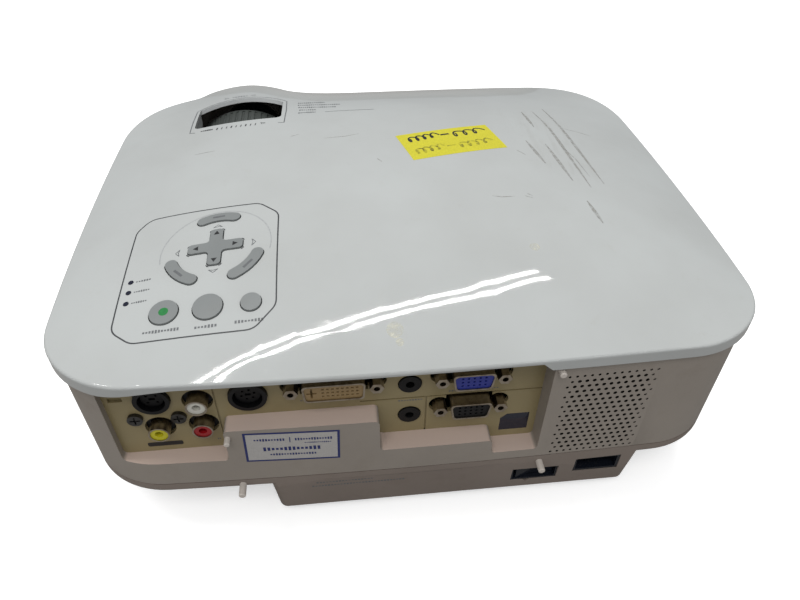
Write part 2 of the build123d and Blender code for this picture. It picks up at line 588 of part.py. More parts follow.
with BuildPart() as circuit_boards:
    # Key board under the cover, with a switch under each key.
    box((56.0, 37.0, KEY_BOARD_Z), (117.0, 104.0, KEY_BOARD_Z + BOARD_T))
    switch_places = [(x, y) for x, y, _ in ROUND_KEYS.values()]
    for angle in ARC_KEYS.values():
        turn = math.radians(angle)
        switch_places.append((PAD_X + KEY_RING_R * math.cos(turn), PAD_Y + KEY_RING_R * math.sin(turn)))
    for turn in range(4):
        bearing = math.radians(90 * turn)
        switch_places.append((PAD_X + PAD_REACH * math.cos(bearing), PAD_Y + PAD_REACH * math.sin(bearing)))
    with Locations([Location((x, y, KEY_BOARD_Z + BOARD_T + 0.3)) for x, y in switch_places]):
        Cylinder(1.5, 0.8)
    # Yoke that carries the cross under the select pad.
    for side in (-1, 1):
        with Locations(Location((PAD_X + 4.6 * side, PAD_Y, (KEY_BOARD_Z + 106.2) / 2))):
            Box(1.6, 5.0, 106.2 - KEY_BOARD_Z)
    with Locations(Location((PAD_X, PAD_Y, PAD_PIVOT_Z), (0, 90, 0))):
        Cylinder(1.5 + RUNNING, 12.0, mode=Mode.SUBTRACT)
    # Main board on the light engine, with its chips.
    box((-60.0, -40.0, 90.0), (112.0, 30.0, 90.0 + BOARD_T))
    box((-20.0, -18.0, 91.0), (14.0, 16.0, 95.0))
    box((36.0, -30.0, 91.0), (56.0, -10.0, 93.4))
    box((36.0, 2.0, 91.0), (60.0, 16.0, 93.0))
    # Upright connector board behind the rear panel.
    box((-50.0, BOARD_Y, CASE_LOW_Z + WALL), (120.0, BOARD_Y + BOARD_T, 90.0))
write(circuit_boards, "circuit_boards")

# ---- Lens ----
lens_axis = Axis((LENS_X, 0, LENS_Z), (0, 1, 0))


def lens_glass(front_y, rear_y, radius, bulge):
    """Glass with two convex faces on the lens axis."""
    ball_r = (radius**2 + bulge**2) / (2 * bulge)
    half_r = radius / 2
    half_sag = ball_r - math.sqrt(ball_r**2 - half_r**2)
    with BuildPart() as glass:
        with BuildSketch(Plane((LENS_X, 0, LENS_Z))):
            with BuildLine():
                ThreePointArc((0, front_y), (half_r, front_y + half_sag), (radius, front_y + bulge))
                ThreePointArc((0, rear_y), (half_r, rear_y - half_sag), (radius, rear_y - bulge))
                Line((radius, front_y + bulge), (radius, rear_y - bulge))
                Line((0, front_y), (0, rear_y))
            make_face()
        revolve(axis=lens_axis)
    return glass.part


def grip_ring(low_y, high_y, ribs):
    """Ring that turns on the barrel, with grip ribs left between grooves."""
    with BuildPart() as ring:
        rod_y(LENS_X, LENS_Z, low_y, high_y, RING_R)
        edges = ring.edges().filter_by(GeomType.CIRCLE)
        chamfer(edges, 0.8)
        rod_y(LENS_X, LENS_Z, low_y - 1, high_y + 1, BARREL_R + RUNNING, mode=Mode.SUBTRACT)
        middle = Location((LENS_X, (low_y + high_y) / 2, LENS_Z), ALONG_Y)
        with Locations(middle):
            with PolarLocations(RING_R + 0.25, ribs):
                Cylinder(0.9, high_y - low_y - 4.0, mode=Mode.SUBTRACT)
    return ring.part


with BuildPart() as lens_barrel:
    box((LENS_X - 34, -45.0, CASE_LOW_Z + WALL), (LENS_X + 34, -42.0, 90.0))
    rod_y(LENS_X, LENS_Z, -92.0, -45.0, BARREL_R)
    rod_y(LENS_X, LENS_Z, -121.0, -92.0, 20.5)
    rod_y(LENS_X, LENS_Z, -89.0, -41.0, BARREL_BORE_R, mode=Mode.SUBTRACT)
    rod_y(LENS_X, LENS_Z, -122.0, -88.0, 18.5, mode=Mode.SUBTRACT)
write(lens_barrel, "lens_barrel")

with BuildPart() as zoom_ring:
    add(grip_ring(-68.0, -50.0, 48))
    box((LENS_X - 3.5, -64.0, LENS_Z + RING_R - 1.5), (LENS_X + 3.5, -54.0, LENS_Z + RING_R + 1.5))
write(zoom_ring, "zoom_ring")

with BuildPart() as focus_ring:
    add(grip_ring(-88.0, -71.0, 60))
write(focus_ring, "focus_ring")

for cell_name, glass_name, cell_low_y, cell_high_y, cell_r, glass_r in (
    ("front_lens_cell", "front_lens", -119.0, -101.0, 18.5, 16.0),
    ("zoom_lens_cell", "zoom_lens", -70.0, -56.0, BARREL_BORE_R, 25.0),
):
    with BuildPart() as cell:
        rod_y(LENS_X, LENS_Z, cell_low_y, cell_high_y, cell_r - RUNNING)
        rod_y(LENS_X, LENS_Z, cell_low_y - 1, cell_high_y + 1, glass_r, mode=Mode.SUBTRACT)
    write(cell, cell_name)
    with BuildPart() as glass:
        add(lens_glass(cell_low_y + 1, cell_low_y + 11, glass_r - RUNNING, 3.0))
    write(glass, glass_name)

with BuildPart() as lens_bezel:
    with BuildSketch(Plane((LENS_X, 0, LENS_Z))):
        with BuildLine():
            Polyline(
                (20.8, -106.5),
                (MOUTH_R, -106.5),
                (MOUTH_R, NOSE_FRONT_Y),
                (MOUTH_R - 0.8, NOSE_FRONT_Y),
                (20.8, -116.0),
                close=True,
            )
        make_face()
    revolve(axis=lens_axis)
    # Its front edge follows the round nose.
    with BuildSketch(Plane.XY.offset(SEAM_Z)):
        add(plan_outline(OVERHANG))
    extrude(amount=SKIRT_Z - SEAM_Z, mode=Mode.INTERSECT)
write(lens_bezel, "lens_bezel")

# ---- Light engine and lamp ----
with BuildPart() as optical_engine:
    box((44.0, -41.9, ENGINE_LOW_Z), (116.0, 26.0, 90.0))
    box((-26.0, -58.0, ENGINE_LOW_Z), (44.0, -28.0, 60.0))
    box((40.0, -41.9, ENGINE_LOW_Z), (47.5, -28.0, 60.0))
    box((46.5, -39.4, ENGINE_LOW_Z + 2.5), (113.5, 23.5, 87.5), mode=Mode.SUBTRACT)
    box((-27.0, -55.5, ENGINE_LOW_Z + 2.5), (41.5, -30.5, 57.5), mode=Mode.SUBTRACT)
    box((40.0, -38.0, ENGINE_LOW_Z + 2.5), (50.0, -30.5, 57.5), mode=Mode.SUBTRACT)
    rod_y(LENS_X, LENS_Z, -45.0, -38.0, 20.0, mode=Mode.SUBTRACT)
write(optical_engine, "optical_engine")

with BuildPart() as light_prism:
    box((LENS_X - 14, -32.0, LENS_Z - 14), (LENS_X + 14, -4.0, LENS_Z + 14))
    chamfer(light_prism.edges().filter_by(Axis.Z), 1.0)
write(light_prism, "light_prism")

with BuildPart() as lamp_housing:
    box((-90.0, -70.0, 12.2), (-30.0, -16.0, 72.0))
    box((-87.5, -67.5, 14.7), (-29.0, -18.5, 69.5), mode=Mode.SUBTRACT)
write(lamp_housing, "lamp_housing")

with BuildPart() as lamp_reflector:
    with BuildSketch(Plane((0, LAMP_Y, LAMP_AXIS_Z))):
        with BuildLine():
            ThreePointArc((-82, 5), (-71, 17), (-50, 23))
            Line((-50, 23), (-50, 21))
            ThreePointArc((-50, 21), (-70, 15), (-80, 3.2))
            Line((-80, 3.2), (-86, 3.2))
            Line((-86, 3.2), (-86, 5))
            Line((-86, 5), (-82, 5))
        make_face()
    revolve(axis=Axis((0, LAMP_Y, LAMP_AXIS_Z), (1, 0, 0)))
write(lamp_reflector, "lamp_reflector")

with BuildPart() as lamp_burner:
    with Locations(Location((-66.0, LAMP_Y, LAMP_AXIS_Z), (0, 90, 0))):
        Cylinder(4.6, 10.0)
    chamfer(lamp_burner.edges().filter_by(GeomType.CIRCLE), 1.4)
    with Locations(Location((-72.0, LAMP_Y, LAMP_AXIS_Z), (0, 90, 0))):
        Cylinder(3.1, 28.0)
write(lamp_burner, "lamp_burner")

with BuildPart() as lamp_ballast:
    box((-60.0, 24.0, BASE_Z + WALL), (-24.0, 70.0, 26.0))
    with Locations([Location((-42.0, 28.0 + 6 * row, 26.0)) for row in range(7)]):
        Box(30.0, 2.0, 3.0)
write(lamp_ballast, "lamp_ballast")

with BuildPart() as power_supply:
    box((-116.0, 26.0, ENGINE_LOW_Z), (-46.0, 96.0, ENGINE_LOW_Z + BOARD_T))
    box((-114.0, 40.0, 30.0), (-95.0, 66.0, 58.0))
    box((-92.0, 34.0, 30.0), (-88.0, 80.0, 60.0))
    box((-66.0, 34.0, 30.0), (-50.0, 56.0, 50.0))
    with Locations([Location((-78.0, y, 45.0)) for y in (46.0, 70.0)]):
        Cylinder(8.0, 30.0)
write(power_supply, "power_supply")

# ---- Rear panel ----
def d_opening(spacing, width, height):
    """Opening for a D-shaped connector and its two jack screws."""
    Rectangle(width, height)
    with Locations((-spacing / 2, -0.3), (spacing / 2, -0.3)):
        Circle(4.3)


def remote_window_profile():
    """Rear receiver window: a rectangle with one corner cut off."""
    with BuildSketch() as window:
        with BuildLine():
            Polyline((-35.8, 50.6), (-38.6, 53.2), (-48.4, 53.2), (-48.4, 42.4), (-35.8, 42.4), close=True)
        make_face()
    return window.sketch


with BuildPart() as connector_plate:
    with BuildSketch(Plane.XZ.offset(-PLATE_Y)):
        add(bay_profile())
        # The top edge follows the edge of the cover, a little below it.
        with BuildLine():
            Polyline(
                (BAY_LEFT_X + 5, 90.5),
                (119.0, 90.5),
                (97.0, PLATE_TOP_Z - 0.6),
                (BAY_RIGHT_X - 5, PLATE_TOP_Z),
                (BAY_RIGHT_X - 5, PLATE_TOP_Z + 10),
                (BAY_LEFT_X + 5, PLATE_TOP_Z + 10),
                close=True,
            )
        make_face(mode=Mode.SUBTRACT)
        for socket_x, socket_z, hole_r in (
            (SVIDEO_X, SVIDEO_Z, 7.1),
            (CONTROL_X, CONTROL_Z, 7.7),
            (JACK_X, JACK_Z[0], 4.9),
            (JACK_X, JACK_Z[1], 4.9),
            *[(x, z, 6.0) for x, z in RCA_PLACES.values()],
            *[(x, z, 1.55) for x, z in PLATE_SCREWS],
        ):
            with Locations((socket_x, socket_z)):
                Circle(hole_r, mode=Mode.SUBTRACT)
        with BuildSketch(mode=Mode.SUBTRACT):
            with Locations((DVI_X, DVI_Z)):
                d_opening(DVI_SPACING, 27.0, 10.8)
            with Locations((VGA_X, VGA_IN_Z), (VGA_X, VGA_OUT_Z)):
                d_opening(VGA_SPACING, 19.4, 10.8)
            add(remote_window_profile())
    extrude(amount=PLATE_T)
    # Grooves between the groups of sockets, and a latch pocket in the upper corner.
    groove, groove_depth = 0.7, 0.6
    for low_x, low_z, high_x, high_z in (
        (BAY_RIGHT_X, 68.3, 24.0, 68.3 + groove),
        (-3.4, STEP_Z, -3.4 + groove, 68.5),
        (80.0, LEFT_FLOOR_Z, 80.0 + groove, 94.0),
    ):
        box((low_x, PLATE_Y - groove_depth, low_z), (high_x, PLATE_Y + 1, high_z), mode=Mode.SUBTRACT)
    box((114.6, PLATE_Y - 1.4, 79.0), (120.0, PLATE_Y + 1, 81.6), mode=Mode.SUBTRACT)
write(connector_plate, "connector_plate")

with BuildPart() as socket_bodies:
    # Cinch socket blocks, with the ring that shows round each barrel.
    for rca_x, rca_z in RCA_PLACES.values():
        box((rca_x - 6.5, BOARD_Y + BOARD_T, rca_z - 6.5), (rca_x + 6.5, PLATE_Y - PLATE_T, rca_z + 6.5))
    # Headphone-size jacks.
    for jack_z in JACK_Z:
        box((JACK_X - 6, BOARD_Y + BOARD_T, jack_z - 6), (JACK_X + 6, PLATE_Y - PLATE_T, jack_z + 6))
        rod_y(JACK_X, jack_z, PLATE_Y - PLATE_T, PLATE_Y + 0.6, 4.6)
        rod_y(JACK_X, jack_z, PLATE_Y - 12.0, PLATE_Y + 2, 1.8, mode=Mode.SUBTRACT)
    # Round multi-pin sockets: a shell with a plug gap round a perforated core.
    for din_x, din_z, din_r in ((SVIDEO_X, SVIDEO_Z, 6.9), (CONTROL_X, CONTROL_Z, 7.5)):
        rod_y(din_x, din_z, BOARD_Y + BOARD_T, PLATE_Y + 1.6, din_r)
        rod_y(din_x, din_z, PLATE_Y - 6.0, PLATE_Y + 2.0, din_r - 1.7, mode=Mode.SUBTRACT)
        rod_y(din_x, din_z, PLATE_Y - 7.0, PLATE_Y - 0.4, din_r - 2.6)
        with Locations(Location((din_x, PLATE_Y - 1.0, din_z), ALONG_Y)):
            with PolarLocations(2.6, 6 if din_r > 7 else 4, start_angle=45):
                Cylinder(0.55, 4.0, mode=Mode.SUBTRACT)
        with Locations(Location((din_x, PLATE_Y - 1.5, din_z))):
            Box(2.4, 3.0, 1.2, mode=Mode.SUBTRACT)
write(socket_bodies, "socket_bodies")

with BuildPart() as rca_barrels:
    for rca_x, rca_z in RCA_PLACES.values():
        rod_y(rca_x, rca_z, BARREL_LOW_Y, BARREL_HIGH_Y, 4.15)
        rod_y(rca_x, rca_z, BARREL_LOW_Y - 1, BARREL_HIGH_Y + 1, 3.5, mode=Mode.SUBTRACT)
write(rca_barrels, "rca_barrels")

for rca_name, (rca_x, rca_z) in RCA_PLACES.items():
    with BuildPart() as ring:
        rod_y(rca_x, rca_z, BARREL_LOW_Y, BARREL_HIGH_Y - 0.5, 3.5)
        rod_y(rca_x, rca_z, BARREL_LOW_Y + 0.5, BARREL_HIGH_Y, 1.65, mode=Mode.SUBTRACT)
    write(ring, rca_name)


def d_profile(width, height, slant):
    """D-shaped connector outline, wider at the top."""
    with BuildSketch() as profile:
        with BuildLine():
            Polyline(
                (-width / 2, height / 2),
                (-width / 2 + slant, -height / 2),
                (width / 2 - slant, -height / 2),
                (width / 2, height / 2),
                close=True,
            )
        make_face()
        fillet(profile.vertices(), 1.6)
    return profile.sketch


with BuildPart() as connector_shells:
    for d_x, d_z, d_width, d_height, d_slant in D_SOCKETS.values():
        with BuildSketch(Plane.XZ.offset(-SCREW_FACE_Y - 0.6)):
            with Locations((d_x, d_z)):
                add(d_profile(d_width, d_height, d_slant))
                add(d_profile(d_width - 2 * SHELL_T, d_height - 2 * SHELL_T, d_slant), mode=Mode.SUBTRACT)
        extrude(amount=SCREW_FACE_Y + 0.6 - BOARD_Y - BOARD_T)
write(connector_shells, "connector_shells")

for insert_name, (d_x, d_z, d_width, d_height, d_slant) in D_SOCKETS.items():
    with BuildPart() as insert:
        with BuildSketch(Plane.XZ.offset(-SCREW_FACE_Y)):
            with Locations((d_x, d_z)):
                add(d_profile(d_width - 2 * SHELL_T, d_height - 2 * SHELL_T, d_slant))
        extrude(amount=SCREW_FACE_Y - BOARD_Y - BOARD_T)
        if insert_name == "dvi_insert":
            with Locations(Location((d_x - 2.4, SCREW_FACE_Y, d_z), ALONG_Y)):
                with GridLocations(1.9, 1.95, 8, 3):
                    Box(1.0, 0.7, 4.0, mode=Mode.SUBTRACT)
            with Locations(Location((d_x + 8.6, SCREW_FACE_Y, d_z))):
                Box(3.8, 4.0, 0.8, mode=Mode.SUBTRACT)
                Box(0.8, 4.0, 5.2, mode=Mode.SUBTRACT)
        else:
            with Locations(Location((d_x, SCREW_FACE_Y, d_z), ALONG_Y)):
                with GridLocations(2.3, 2.0, 5, 3):
                    Cylinder(0.5, 4.0, mode=Mode.SUBTRACT)
    write(insert, insert_name)

with BuildPart() as jackscrews:
    for d_x, d_z, spacing in JACK_SCREWS:
        with BuildSketch(Plane.XZ.offset(-SCREW_FACE_Y)):
            with Locations((d_x - spacing / 2, d_z), (d_x + spacing / 2, d_z)):
                RegularPolygon(2.9, 6)
                Circle(1.25, mode=Mode.SUBTRACT)
        extrude(amount=6.5)
        with BuildSketch(Plane.XZ.offset(-PLATE_Y)):
            with Locations((d_x - spacing / 2, d_z), (d_x + spacing / 2, d_z)):
                Circle(1.6)
        extrude(amount=PLATE_Y - BOARD_Y - BOARD_T)
write(jackscrews, "jackscrews")

with BuildPart() as remote_windows:
    with BuildSketch(Plane.XZ.offset(-PLATE_Y)):
        add(remote_window_profile())
    extrude(amount=PLATE_T)
    box((16.0, -111.9, 54.0), (30.0, -109.6, 66.0))
write(remote_windows, "remote_windows")

with BuildPart() as case_screws:
    for screw_x, screw_z in PLATE_SCREWS:
        rod_y(screw_x, screw_z, PLATE_Y, PLATE_Y + 1.6, 3.0)
        rod_y(screw_x, screw_z, PLATE_Y - 7.0, PLATE_Y, 1.5)
        with Locations(Location((screw_x, PLATE_Y + 1.6, screw_z))):
            Box(4.0, 1.6, 0.7, mode=Mode.SUBTRACT)
            Box(0.7, 1.6, 4.0, mode=Mode.SUBTRACT)
    for screw_x, screw_y in CASE_SCREWS:
        rod_z(screw_x, screw_y, CASE_LOW_Z - 1.6, CASE_LOW_Z, 3.2)
        rod_z(screw_x, screw_y, CASE_LOW_Z, CASE_LOW_Z + 8.0, 1.5)
        with Locations(Location((screw_x, screw_y, CASE_LOW_Z - 1.6))):
            Box(4.2, 0.7, 1.6, mode=Mode.SUBTRACT)
            Box(0.7, 4.2, 1.6, mode=Mode.SUBTRACT)
write(case_screws, "case_screws")

# Studs on the rear that an optional cable cover hooks on.
with BuildPart() as cover_pegs:
    for peg_x, peg_z, peg_tip_y, peg_r in PEGS:
        rod_y(peg_x, peg_z, WALL_Y - 2.4, peg_tip_y, peg_r)
    tips = cover_pegs.faces().filter_by(lambda face: face.center().Y > REAR_Y)
    fillet(tips.edges().filter_by(GeomType.CIRCLE), 0.5)
write(cover_pegs, "cover_pegs")

# ---- Loudspeaker behind the grille ----
with BuildPart() as speaker:
    with BuildSketch(Plane((GRILLE_X, 0, GRILLE_Z))):
        with BuildLine():
            Polyline(
                (0, 101),
                (11, 101),
                (11, 108),
                (19, 114),
                (19, 120.6),
                (16, 120.6),
                (5, 113),
                (0, 115),
                close=True,
            )
        make_face()
    revolve(axis=Axis((GRILLE_X, 0, GRILLE_Z), (0, 1, 0)))
write(speaker, "speaker")

# ---- Mains inlet and switch ----
def mains_housing(x, z, width, height, rim):
    """Nose that fills an opening of the platform, and the pocket in it."""
    with Locations(Location((x, (POCKET_FACE_Y + NOSE_FACE_Y) / 2, z))):
        Box(width - 0.2, NOSE_FACE_Y - POCKET_FACE_Y, height - 0.2)
    with Locations(Location((x, 118.0, z))):
        Box(width - 0.2 - 2 * rim, 24.0, height - 0.2 - 2 * rim, mode=Mode.SUBTRACT)


with BuildPart() as ac_inlet:
    box((INLET_X - 12.2, 100.5, 15.2), (INLET_X + 12.2, POCKET_FACE_Y, 28.4))
    mains_housing(INLET_X, INLET_Z, INLET_W, INLET_H, 1.2)
write(ac_inlet, "ac_inlet")

PIN_PLACES = [(INLET_X - 4.1, INLET_Z + 2.4), (INLET_X + 4.1, INLET_Z + 2.4), (INLET_X, INLET_Z + 0.2)]
with BuildPart() as inlet_pins:
    with Locations([Location((x, 112.5, z)) for x, z in PIN_PLACES]):
        Box(1.8, 13.0, 1.4)
    chamfer(inlet_pins.faces().sort_by(Axis.Y)[-3:].edges(), 0.4)
write(inlet_pins, "inlet_pins")

with BuildPart() as switch_housing:
    box((SWITCH_X - 12.2, 103.0, SWITCH_Z - 6.2), (SWITCH_X + 12.2, POCKET_FACE_Y, SWITCH_Z + 6.2))
    mains_housing(SWITCH_X, SWITCH_Z, SWITCH_W, SWITCH_H, 0.8)
    rod_z(SWITCH_X, ROCKER_Y, SWITCH_Z - 5.6, SWITCH_Z + 5.6, 1.25, mode=Mode.SUBTRACT)
write(switch_housing, "switch_housing")

with BuildPart() as power_switch:
    with BuildSketch(Plane(Location((SWITCH_X, ROCKER_Y, SWITCH_Z - 3.5), (0, 0, ROCKER_TILT)))):
        with BuildLine():
            Polyline((-8.9, 4.3), (0, 3.5), (8.9, 4.3), (8.1, -1.5), (0, -5), (-8.1, -1.5), close=True)
        make_face()
    extrude(amount=7.0)
    rod_z(SWITCH_X, ROCKER_Y, SWITCH_Z - 5.5, SWITCH_Z + 5.5, 1.2)
write(power_switch, "power_switch")

# ---- Feet ----
with BuildPart() as front_foot:
    rod_z(FOOT_X, FOOT_Y, 0.0, 5.2, 11.0)
    fillet(front_foot.edges().group_by(Axis.Z)[0], 1.2)
    rod_z(FOOT_X, FOOT_Y, 5.2, 66.0, 6.0)
    with Locations([Location((FOOT_X, FOOT_Y + 6.0, 29.0 + 3.0 * tooth)) for tooth in range(12)]):
        Box(8.0, 2.0, 1.5, mode=Mode.SUBTRACT)
write(front_foot, "front_foot")

with BuildPart() as foot_latch:
    box((FOOT_X - 7.9, -101.0, 13.6), (FOOT_X + 7.9, -75.0, 18.4))
    box((FOOT_X - 6.4, -95.2, 13.0), (FOOT_X + 6.4, -78.7, 19.0), mode=Mode.SUBTRACT)
    fillet(foot_latch.edges().filter_by(Axis.Z).group_by(Axis.Y)[0], 1.5)
write(foot_latch, "foot_latch")

for foot_name, (foot_x, foot_y) in REAR_FEET.items():
    with BuildPart() as foot:
        rod_z(foot_x, foot_y, 0.0, 4.6, 8.0)
        fillet(foot.edges().group_by(Axis.Z)[0], 1.0)
        rod_z(foot_x, foot_y, 4.6, 24.0, 3.0)
    write(foot, foot_name)
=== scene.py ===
"""Looks of the home projector: finishes, printed lines, stickers, light and camera.

Blender works in metres. Decals are laid out in mm.
"""

import json
import math

import bpy
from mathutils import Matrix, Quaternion, Vector
from mathutils.bvhtree import BVHTree


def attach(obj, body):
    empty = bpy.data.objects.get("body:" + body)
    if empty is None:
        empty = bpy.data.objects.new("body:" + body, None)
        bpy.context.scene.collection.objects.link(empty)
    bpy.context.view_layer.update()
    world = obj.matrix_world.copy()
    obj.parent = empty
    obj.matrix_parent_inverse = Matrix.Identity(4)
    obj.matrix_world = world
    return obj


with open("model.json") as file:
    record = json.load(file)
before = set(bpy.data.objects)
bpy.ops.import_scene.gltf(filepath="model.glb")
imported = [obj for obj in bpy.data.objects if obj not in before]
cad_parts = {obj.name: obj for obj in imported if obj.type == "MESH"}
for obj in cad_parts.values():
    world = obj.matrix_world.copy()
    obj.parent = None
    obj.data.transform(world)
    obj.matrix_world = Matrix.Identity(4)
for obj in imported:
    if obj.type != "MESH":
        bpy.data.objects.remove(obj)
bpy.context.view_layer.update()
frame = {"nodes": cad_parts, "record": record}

MM = 0.001
PAD = (79.7, 63.0)  # centre of the select pad, seen from above
KEY_ORBIT = 19.0  # radius of the circle on which the three curved keys lie
KEY_HALF = 2.95  # half the width of a curved key, with its gap
CURVED_KEYS = (("menu_button", -90), ("enter_button", 42), ("exit_button", 138))
WINDOW_ARC = (79.5, -59.8)  # centre of the round front of the lens window
NOTE_TURN = 14.0  # degrees that the yellow note is turned on the cover
LEDGE_TURN = 2.2  # degrees that the sticker is turned on the ledge

nodes = frame["nodes"]


# ---- Materials ----
class Shader:
    """One material's node tree, with short calls for the nodes that the finishes use."""

    def __init__(self, name, roughness=0.5, metallic=0.0, ior=1.5):
        self.material = bpy.data.materials.new(name)
        self.material.use_nodes = True
        self.tree = self.material.node_tree
        self.surface = self.tree.nodes["Principled BSDF"]
        self.place = self.tree.nodes.new("ShaderNodeTexCoord").outputs["Object"]
        self.surface.inputs["Roughness"].default_value = roughness
        self.surface.inputs["Metallic"].default_value = metallic
        self.surface.inputs["IOR"].default_value = ior

    def put(self, socket, value):
        """Links a socket, or sets a constant on it."""
        if isinstance(value, bpy.types.NodeSocket):
            self.tree.links.new(value, socket)
        else:
            socket.default_value = value

    def set(self, **inputs):
        """Sets inputs of the surface, whose names are written with underscores."""
        for name, value in inputs.items():
            self.put(self.surface.inputs[name.replace("_", " ")], value)

    def math(self, operation, *values):
        node = self.tree.nodes.new("ShaderNodeMath")
        node.operation = operation
        for socket, value in zip(node.inputs, values):
            self.put(socket, value)
        return node.outputs[0]

    def local(self, centre=(0, 0, 0), turn=0.0, size=(1, 1, 1)):
        """Coordinates about a centre in mm, turned about Z, and stretched by size."""
        node = self.tree.nodes.new("ShaderNodeMapping")
        node.vector_type = "TEXTURE"
        self.put(node.inputs["Vector"], self.place)
        node.inputs["Location"].default_value = [c * MM for c in centre]
        node.inputs["Rotation"].default_value = (0, 0, math.radians(turn))
        node.inputs["Scale"].default_value = size
        return node.outputs[0]

    def noise(self, feature_mm, detail=3.0, rough=0.55, place=None):
        """Noise whose patches are about feature_mm across."""
        node = self.tree.nodes.new("ShaderNodeTexNoise")
        self.put(node.inputs["Vector"], place or self.place)
        node.inputs["Scale"].default_value = 1 / (feature_mm * MM)
        node.inputs["Detail"].default_value = detail
        node.inputs["Roughness"].default_value = rough
        return node.outputs[0]

    def specks(self, feature_mm, radius):
        """Small dots, one to a cell of feature_mm, of the given radius as a part of the cell."""
        node = self.tree.nodes.new("ShaderNodeTexVoronoi")
        self.put(node.inputs["Vector"], self.place)
        node.inputs["Scale"].default_value = 1 / (feature_mm * MM)
        return self.span(node.outputs["Distance"], radius, radius * 0.6)

    def span(self, value, low, high, to_low=0.0, to_high=1.0):
        """Maps low..high to to_low..to_high, clamped."""
        node = self.tree.nodes.new("ShaderNodeMapRange")
        for socket, number in zip(node.inputs, (value, low, high, to_low, to_high)):
            self.put(socket, number)
        return node.outputs[0]

    def mix(self, factor, first, second):
        """Mixes two colours."""
        node = self.tree.nodes.new("ShaderNodeMix")
        node.data_type = "RGBA"
        for index, value in ((0, factor), (6, first), (7, second)):
            self.put(node.inputs[index], (*value, 1.0) if isinstance(value, tuple) else value)
        return node.outputs[2]

    def bump(self, height, depth_mm, under=None, strength=1.0):
        node = self.tree.nodes.new("ShaderNodeBump")
        node.inputs["Strength"].default_value = strength
        node.inputs["Distance"].default_value = depth_mm * MM
        self.put(node.inputs["Height"], height)
        if under:
            self.put(node.inputs["Normal"], under)
        return node.outputs[0]

    def facing(self, axis):
        """Part of the face's normal along an axis, from -1 to 1."""
        node = self.tree.nodes.new("ShaderNodeSeparateXYZ")
        self.put(node.inputs[0], self.tree.nodes.new("ShaderNodeTexCoord").outputs["Normal"])
        return node.outputs[axis]

    def overlay(self, factor, colour):
        """Lays another colour over the surface's own where factor is 1."""
        under = self.surface.inputs["Base Color"].links[0].from_socket
        self.set(Base_Color=self.mix(factor, under, colour))

    def box_mask(self, centre, half, turn=0.0, edge=0.2):
        """1 inside a turned rectangle on the cover, fading over edge, all in mm."""
        node = self.tree.nodes.new("ShaderNodeSeparateXYZ")
        self.put(node.inputs[0], self.local((*centre, 0), turn))
        sides = []
        for axis, reach in ((0, half[0]), (1, half[1])):
            distance = self.math("ABSOLUTE", node.outputs[axis])
            sides.append(self.span(distance, reach * MM, (reach - edge) * MM))
        return self.math("MULTIPLY", *sides)


def plastic(name, colour, roughness, grain_mm=0.5, grain_depth=0.02, dirt=0.12, ior=1.5):
    """Moulded plastic: cloudy tint, fine grain, dust specks, and grime in patches."""
    shader = Shader(name, roughness, ior=ior)
    cloud = shader.noise(45, 4)
    grime = shader.span(shader.noise(14, 6, 0.7), 0.52, 0.78)
    dull = tuple(c * (1 - dirt) for c in colour)
    soiled = tuple(c * f for c, f in zip(colour, (0.62, 0.56, 0.48)))
    tint = shader.mix(shader.span(cloud, 0.3, 0.7), dull, colour)
    tint = shader.mix(shader.math("MULTIPLY", grime, dirt * 1.6), tint, soiled)
    dust = shader.specks(3.1, 0.07)
    tint = shader.mix(shader.math("MULTIPLY", dust, 0.35), tint, soiled)
    grain = shader.bump(shader.noise(grain_mm, 2), grain_depth)
    shader.set(
        Base_Color=tint,
        Roughness=shader.span(grime, 0, 1, roughness - 0.05, roughness + 0.12),
        Normal=shader.bump(dust, 0.01, grain, 0.5),
    )
    return shader


def metal(name, colour, roughness, brushed=(1, 1, 1)):
    """Metal with tarnish and a fine texture, which brushed stretches into drawn lines."""
    shader = Shader(name, roughness, 1.0)
    tarnish = shader.span(shader.noise(3.0, 5, 0.65), 0.45, 0.75)
    dark = tuple(c * f for c, f in zip(colour, (0.55, 0.48, 0.40)))
    lines = shader.noise(0.35, 3, place=shader.local(size=brushed))
    shader.set(
        Base_Color=shader.mix(tarnish, colour, dark),
        Roughness=shader.span(tarnish, 0, 1, roughness, roughness + 0.2),
        Normal=shader.bump(lines, 0.01),
    )
    return shader


